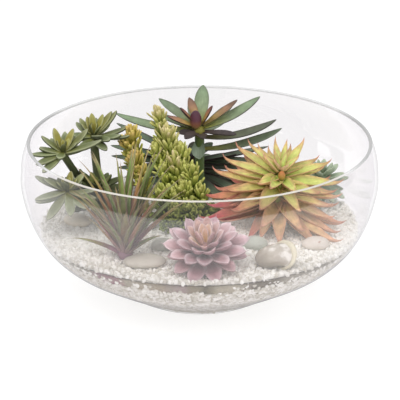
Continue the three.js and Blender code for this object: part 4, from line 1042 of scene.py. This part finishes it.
def make_air_plant():
    """A tuft of thin, channelled, scurfy blades round a mauve foot."""
    finish = leaf_plastic(
        "scurfy_pvc_air_plant",
        outer=[(0.0, 0xB08094), (1.0, 0xAA9478), (0.24, 0x987480), (0.42, 0x62783E), (0.8, 0x7A9250)],
        inner=[(0.0, 0xB48498), (1.0, 0xBA9C80), (0.28, 0xB46C84), (0.48, 0xC4684C), (0.75, 0xA48C48)],
        edge=(0xA87C7E, 0.5, 0.45), under=(0x8A7C62, 0.4), roughness=0.65, streak=0.35)
    rng = np.random.default_rng(44)
    count = 22
    more = np.stack([0 * np.arange(count), 30 + np.arange(count) * GOLDEN_ANGLE, rng.uniform(48, 84, count),
                     rng.uniform(-26, -6, count), rng.uniform(38, 72, count), rng.uniform(3.6, 6, count)], -1)
    rows = np.concatenate([AIR_BLADES, more])
    rows[:, 5] *= 1.15
    young = rng.uniform(0, 1, len(rows)) ** 3
    young[[6, 12, 16, 19]] = [0.8, 0.5, 0.9, 1]  # the pinkest blades
    young[[4, 5, 7, 21]] = 0.05  # the greenest ones
    parts = [leaves("blade", rows, AIR_PLANT["centre"], core=2.5, inner=young, rings=40, around=12, seed=41)]
    x, y, z = AIR_PLANT["centre"]
    mauve = {"along": 0.1, "upper": 1}
    parts.append(egg([x, y, z + 2], [5.8, 5.8, 6.5], **mauve))
    parts.append(standing(AIR_PLANT["foot"], [x, y, COLLAR + 1.5], AIR_PLANT["stem"], **mauve))
    make_piece("air_plant_blades", parts, finish, "air_plant")


# ---------------------------------------------------------------- spiky rosette
SPIKY = {"centre": [67, -1, 92], "foot": [62, -2], "stem": 4.6}
SPIKY_LEAVES = [
    [19, 100, 20, 6, 48, 8], [20, 84, 58, 4, 31, 7], [19, 50, 40, 8, 41, 9.5], [19, 138, 22, 6, 45, 7.5],
    [19, 124, 16, 6, 43, 6.5], [18, 156, 14, 8, 51, 9.5], [15, 172, 4, 10, 55, 10],
    [12, 178, 0, 12, 51, 9.5], [18, 34, 14, 8, 43, 8.5], [16, 18, 15, 8, 49, 9.5], [14, 26, 8, 8, 46, 9],
    [12, -3, 1, 8, 57, 11.5], [6, -12, 0, 8, 52, 11], [4, -19, -1, 8, 57, 11.5], [9, 184, -1, 12, 62, 12],
    [5, 171, 3, 12, 51, 10.5], [6, 192, -11, 12, 60, 12.5], [14, -140, -12, 8, 27, 11],
    [13, -108, -3, 4, 34, 10], [13, -62, -7, 6, 33, 10], [6, -60, -18, 6, 44, 11],
    [3, -36, -6, 8, 54, 11], [2, 186, -18, 12, 68, 14], [0, 197, -21, 12, 66, 16],
    [-4, 205, -23, 10, 75, 15], [6, -116, -26, 26, 50, 15], [3, -142, -28, 22, 56, 14.5],
    [-3, -20, -16, 10, 66, 11], [-2, -32, -13, 10, 58, 11], [-10, -130, -38, 10, 51, 11.5],
    [-9, -84, -24, 12, 66, 13.5], [-12, -54, -17, 10, 70, 12], [-12, -40, -16, 10, 75, 12],
    [-7, -66, -17, 12, 58, 12], [-8, -28, -17, 10, 67, 11.5], [-6, -104, -20, 14, 56, 13],
    [8, 200, -13, 10, 52, 11.5], [8, -166, -28, 10, 49, 12], [9, -26, -3, 8, 41, 11],
]
# Leaves on the far side and young leaves round the bud.
SPIKY_BACK = [
    [22, 60, 66, 0, 20, 5], [22, 150, 62, 4, 20, 5], [21, -60, 50, 4, 13, 5], [22, -140, 52, 4, 14, 5],
    [21, 10, 48, 4, 22, 6], [20, 200, 40, 6, 26, 7], [17, 70, 30, 8, 38, 9], [16, 110, 14, 8, 44, 9],
    [12, 140, 8, 8, 46, 10], [11, 50, 12, 8, 44, 10], [10, 90, 4, 8, 46, 10.5], [8, 20, 2, 8, 50, 10.5],
    [8, 150, 0, 8, 48, 10.5], [6, 120, -4, 8, 46, 10.5], [5, 60, -2, 8, 46, 10.5], [2, 30, -4, 8, 48, 10],
    [2, 90, -10, 8, 46, 10.5], [2, 150, -8, 8, 50, 10.5], [-4, 5, -8, 8, 56, 11],
    [-6, 60, -12, 8, 48, 10.5], [-6, 115, -14, 8, 46, 10.5], [-8, 165, -12, 8, 52, 11],
    [-10, -5, -14, 8, 62, 11], [-12, 185, -16, 8, 60, 11], [-12, -160, -22, 8, 56, 11.5],
    [-13, -110, -26, 8, 50, 12],
]


def make_spiky():
    """The large spiky rosette, pinker on its lower left, and its bud."""
    lime = leaf_plastic(
        "sprayed_pvc_lime",
        outer=[(0.0, 0x94A848), (1.0, 0xC47C7C), (0.2, 0xB6C466), (0.6, 0xCACC7C), (0.86, 0xCCAC7A)],
        inner=[(0.0, 0xA09848), (1.0, 0xB43C56), (0.25, 0xB8A25E), (0.55, 0xBE7E66), (0.8, 0xC0525E)],
        edge=(0xD8967E, 0.45, 0.45), under=(0xDEB092, 0.55), roughness=0.5, streak=0.3)
    rows = np.array(SPIKY_LEAVES + SPIKY_BACK, float)
    low = smooth_share(-rows[:, 0], -14, 8)
    left = smooth_share(-np.cos(np.radians(rows[:, 1])), 0.2, 1)
    blush = np.clip(low * (0.42 + 0.7 * left) + 0.15 * left, 0, 1)
    # Lower leaves on the right take the pale peach of the back on their upper faces: painted light.
    head = leaves("claw", rows, SPIKY["centre"], (27, 8), core=4, inner=blush, rings=34, around=18, seed=51,
                  painted_shading=0.9 * low * (1 - left))
    x, y, z = SPIKY["centre"]
    foot = SPIKY["foot"]
    plain = {"along": 0.1, "upper": 1}
    column = tube([[*foot, z - 24], [x - 2, y - 1, z - 12], [x + 2, y + 1, z + 16]], [6, 6.2, 5], **plain)
    stalk = standing(foot, SPIKY["centre"], SPIKY["stem"], **plain)
    make_piece("spiky_rosette_leaves", [head, column, stalk], lime, "spiky_head")
    orange = leaf_plastic(
        "sprayed_pvc_orange_bud",
        outer=[(0.0, 0xA8A04A), (1.0, 0xC07E48)], inner=[(0.0, 0xC08A44), (1.0, 0xC08A44)],
        edge=(0xC98A3C, 0.0), under=(0xC98A3C, 0.0), roughness=0.45)
    bud = egg([x + 3, y - 5, z + 18], [3.2, 3.2, 4.2])
    make_piece("spiky_rosette_bud", [bud], orange, "spiky_bud")


# ---------------------------------------------------------------- pink rosette and grey rosette
PINK = {"centre": [4.5, -92, 77.5], "foot": [3, -86], "leans": (-90, 10), "stem": 3}
GREY = {"centre": [107, 52, 88], "foot": [89, 42], "leans": (20, 8), "stem": 2.6}


def rosette_rows(count, first, height, elevation, bend, length, width):
    """Rows by the golden angle, from the lowest, longest leaf to the innermost."""
    share = np.arange(count) / (count - 1)
    between = lambda ends, s: ends[0] + (ends[1] - ends[0]) * s
    return np.stack([
        between(height, share), first + np.arange(count) * GOLDEN_ANGLE, between(elevation, share**1.15),
        bend + 0 * share, between(length, share**1.2), between(width, share**1.2)], -1)


# From the lowest tier, which lies on the gravel, to the upright heart.
PINK_LEAVES = np.array([
    [-5, -74, -9, 10, 43, 14], [-5, -104, -10, 10, 44, 14], [-4, -136, -8, 10, 39, 13],
    [-4, -168, -4, 10, 34, 13], [-4, -42, -6, 10, 38, 13], [-4, -12, -2, 10, 38, 13],
    [-4, 22, -4, 10, 36, 13], [-4, 60, -8, 10, 36, 13], [-4, 100, -8, 10, 36, 13],
    [-4, 140, -4, 10, 36, 13], [-2, -90, 10, 10, 37, 13.5], [-2, -56, 7, 12, 38, 13],
    [-2, -24, 9, 12, 40, 13], [-2, 6, 12, 10, 42, 13.5], [-2, 38, 14, 10, 38, 13],
    [-2, 76, 12, 10, 36, 13], [-2, 112, 14, 10, 36, 13], [-2, 150, 16, 10, 39, 13],
    [-2, 186, 12, 10, 39, 13.5], [-2, -146, 8, 12, 39, 13], [-2, -120, 8, 12, 36, 13],
    [0, -74, 26, 12, 31, 12], [0, -36, 26, 12, 33, 12], [0, 0, 30, 12, 35, 12], [0, 32, 34, 10, 34, 12],
    [0, 68, 38, 10, 33, 12], [0, 104, 40, 10, 32, 12], [0, 138, 36, 10, 34, 12], [0, 172, 30, 12, 35, 12],
    [0, -150, 26, 12, 33, 12], [0, -112, 26, 12, 31, 12], [2, -50, 40, 12, 24, 10],
    [2, -8, 48, 12, 27, 10.5], [2, 34, 56, 10, 28, 10.5], [2, 80, 62, 8, 29, 11],
    [2, 122, 58, 10, 28, 10.5], [2, 166, 50, 12, 27, 10.5], [2, -142, 42, 12, 25, 10],
    [4, -92, 26, 16, 12, 8], [4, -20, 64, 10, 19, 8], [4, 50, 72, 8, 22, 8.5], [4, 128, 72, 8, 22, 8.5],
    [4, 198, 64, 10, 19, 8], [5, 60, 80, 6, 17, 6.5], [5, 180, 74, 6, 14, 6],
], float)
GREY_LEAVES = np.concatenate([rosette_rows(17, 10, (-3, 3), (4, 70), 10, (25, 12), (8.5, 5)), [
    [-4, -60, -32, 8, 28, 9], [-4, -95, -40, 8, 27, 9], [-5, -20, -30, 8, 26, 9], [-5, -130, -42, 8, 25, 9],
    [-5, 20, -24, 8, 25, 9], [-6, -78, -58, 6, 25, 9]]])


def make_small_rosettes():
    """The pink rosette in front and the grey-green one behind the spiky one."""
    pink = leaf_plastic(
        "dusted_pvc_pink",
        outer=[(0.0, 0x6E4446), (1.0, 0xDAC2C6), (0.3, 0x96666C), (0.62, 0xBA9094), (0.85, 0xD4B6BA)],
        inner=[(0.0, 0xC49A34), (1.0, 0xE0BCA2), (0.35, 0xD6AA58), (0.7, 0xDCB090)],
        edge=(0xEADCDE, 0.6, 0.42), under=(0x9C6A70, 0.8), roughness=0.5, streak=0.3)
    order = np.arange(len(PINK_LEAVES)) / (len(PINK_LEAVES) - 1)
    # The lowest tier takes some of the darker back's colour on its upper faces: painted shade under the tiers
    # above.
    head = leaves("petal", PINK_LEAVES, PINK["centre"], PINK["leans"], core=3.85, rings=30, around=18,
                  seed=61, inner=smooth_share(order, 0.62, 0.96), painted_shading=0.45 * (order < 0.21))
    core = egg(PINK["centre"], [7, 7, 7], inner=1)
    stalk = standing(PINK["foot"], PINK["centre"], PINK["stem"])
    make_piece("pink_rosette_petals", [head, core, stalk], pink, "pink_rosette")
    grey = leaf_plastic(
        "dusted_pvc_grey_green",
        outer=[(0.0, 0x84947A), (1.0, 0xB8C4AA), (0.6, 0x9EAE96)], inner=[(0.0, 0x92A080), (1.0, 0xBEC8AC)],
        edge=(0xC6D0BC, 0.4, 0.5), under=(0x849478, 0.5), roughness=0.6)
    head = leaves("finger", GREY_LEAVES, GREY["centre"], GREY["leans"], core=2.75, rings=20, seed=71)
    core = egg(GREY["centre"], [5, 5, 5], upper=1)
    stalk = standing(GREY["foot"], GREY["centre"], GREY["stem"])
    make_piece("grey_rosette_leaves", [head, core, stalk], grey, "grey_rosette")


# ---------------------------------------------------------------- floor, light and camera
def make_stage():
    """A backlit opal acrylic table that burns out to white, a soft sky and two area lamps."""
    finish, tree, shader = material("backlit_opal_acrylic_table", Roughness=0.9, Base_Color=linear(0x9C9C9C))
    shader.inputs["Emission Color"].default_value = (1, 1, 1, 1)
    shader.inputs["Emission Strength"].default_value = 0.76
    mesh = bpy.data.meshes.new("floor")
    reach = 8.0
    corners = [(-reach, -reach, 0), (reach, -reach, 0), (reach, reach, 0), (-reach, reach, 0)]
    mesh.from_pydata(corners, [], [(0, 1, 2, 3)])
    mesh.materials.append(finish)
    floor = bpy.data.objects.new("floor", mesh)
    bpy.context.scene.collection.objects.link(floor)

    world = bpy.data.worlds.new("studio")
    bpy.context.scene.world = world
    world.use_nodes = True
    tree = world.node_tree
    tree.nodes.clear()
    way = add(tree, "SeparateXYZ", {0: add(tree, "TexCoord").outputs["Generated"]}).outputs
    lift = add(tree, "Math", {0: way[2], 1: 0.9, 2: 0.25}, operation="MULTIPLY_ADD").outputs[0]
    share = add(tree, "Math", {0: way[1], 1: 0.6, 2: lift}, operation="MULTIPLY_ADD").outputs[0]
    sky = add(tree, "ValToRGB", {"Fac": share}, stops=[
        (0.0, 0xB2B2B4), (1.0, 0xFFFFFF), (0.25, 0xE2E2E3), (0.6, 0xF2F2F2)]).outputs[0]
    light = add(tree, "Background", {"Color": sky, "Strength": 0.72}).outputs[0]
    add(tree, "OutputWorld", {"Surface": light})

    for name, spot, size, power in (("key", (-0.6, -0.8, 1.9), 1.3, 22), ("fill", (0.8, -1.7, 1.0), 1.6, 18)):
        lamp = bpy.data.lights.new(name, "AREA")
        lamp.size, lamp.energy = size, power
        holder = bpy.data.objects.new(name, lamp)
        holder.visible_glossy = False
        holder.location = spot
        holder.rotation_euler = (Vector((0, 0, 0.06)) - Vector(spot)).to_track_quat("-Z", "Y").to_euler()
        bpy.context.scene.collection.objects.link(holder)


def make_camera():
    """The photograph's viewpoint: 2 m from the bowl, looking down by about 21 degrees."""
    lens = bpy.data.cameras.new("camera")
    lens.sensor_width, lens.lens = 36, 209.2
    camera = bpy.data.objects.new("camera", lens)
    camera.location = (0, -1.8585, 0.804)
    aim = Vector((0.0004, 0, 0.0856))
    camera.rotation_euler = (aim - camera.location).to_track_quat("-Z", "Y").to_euler()
    bpy.context.scene.collection.objects.link(camera)
    bpy.context.scene.camera = camera
    bpy.context.scene.view_settings.view_transform = "Standard"


make_camera()
make_stage()
make_bowl()
make_gravel()
make_foam()
make_stones()
make_shell()
make_tall()
make_dark()
make_left()
make_sedum()
make_air_plant()
make_spiky()
make_small_rosettes()
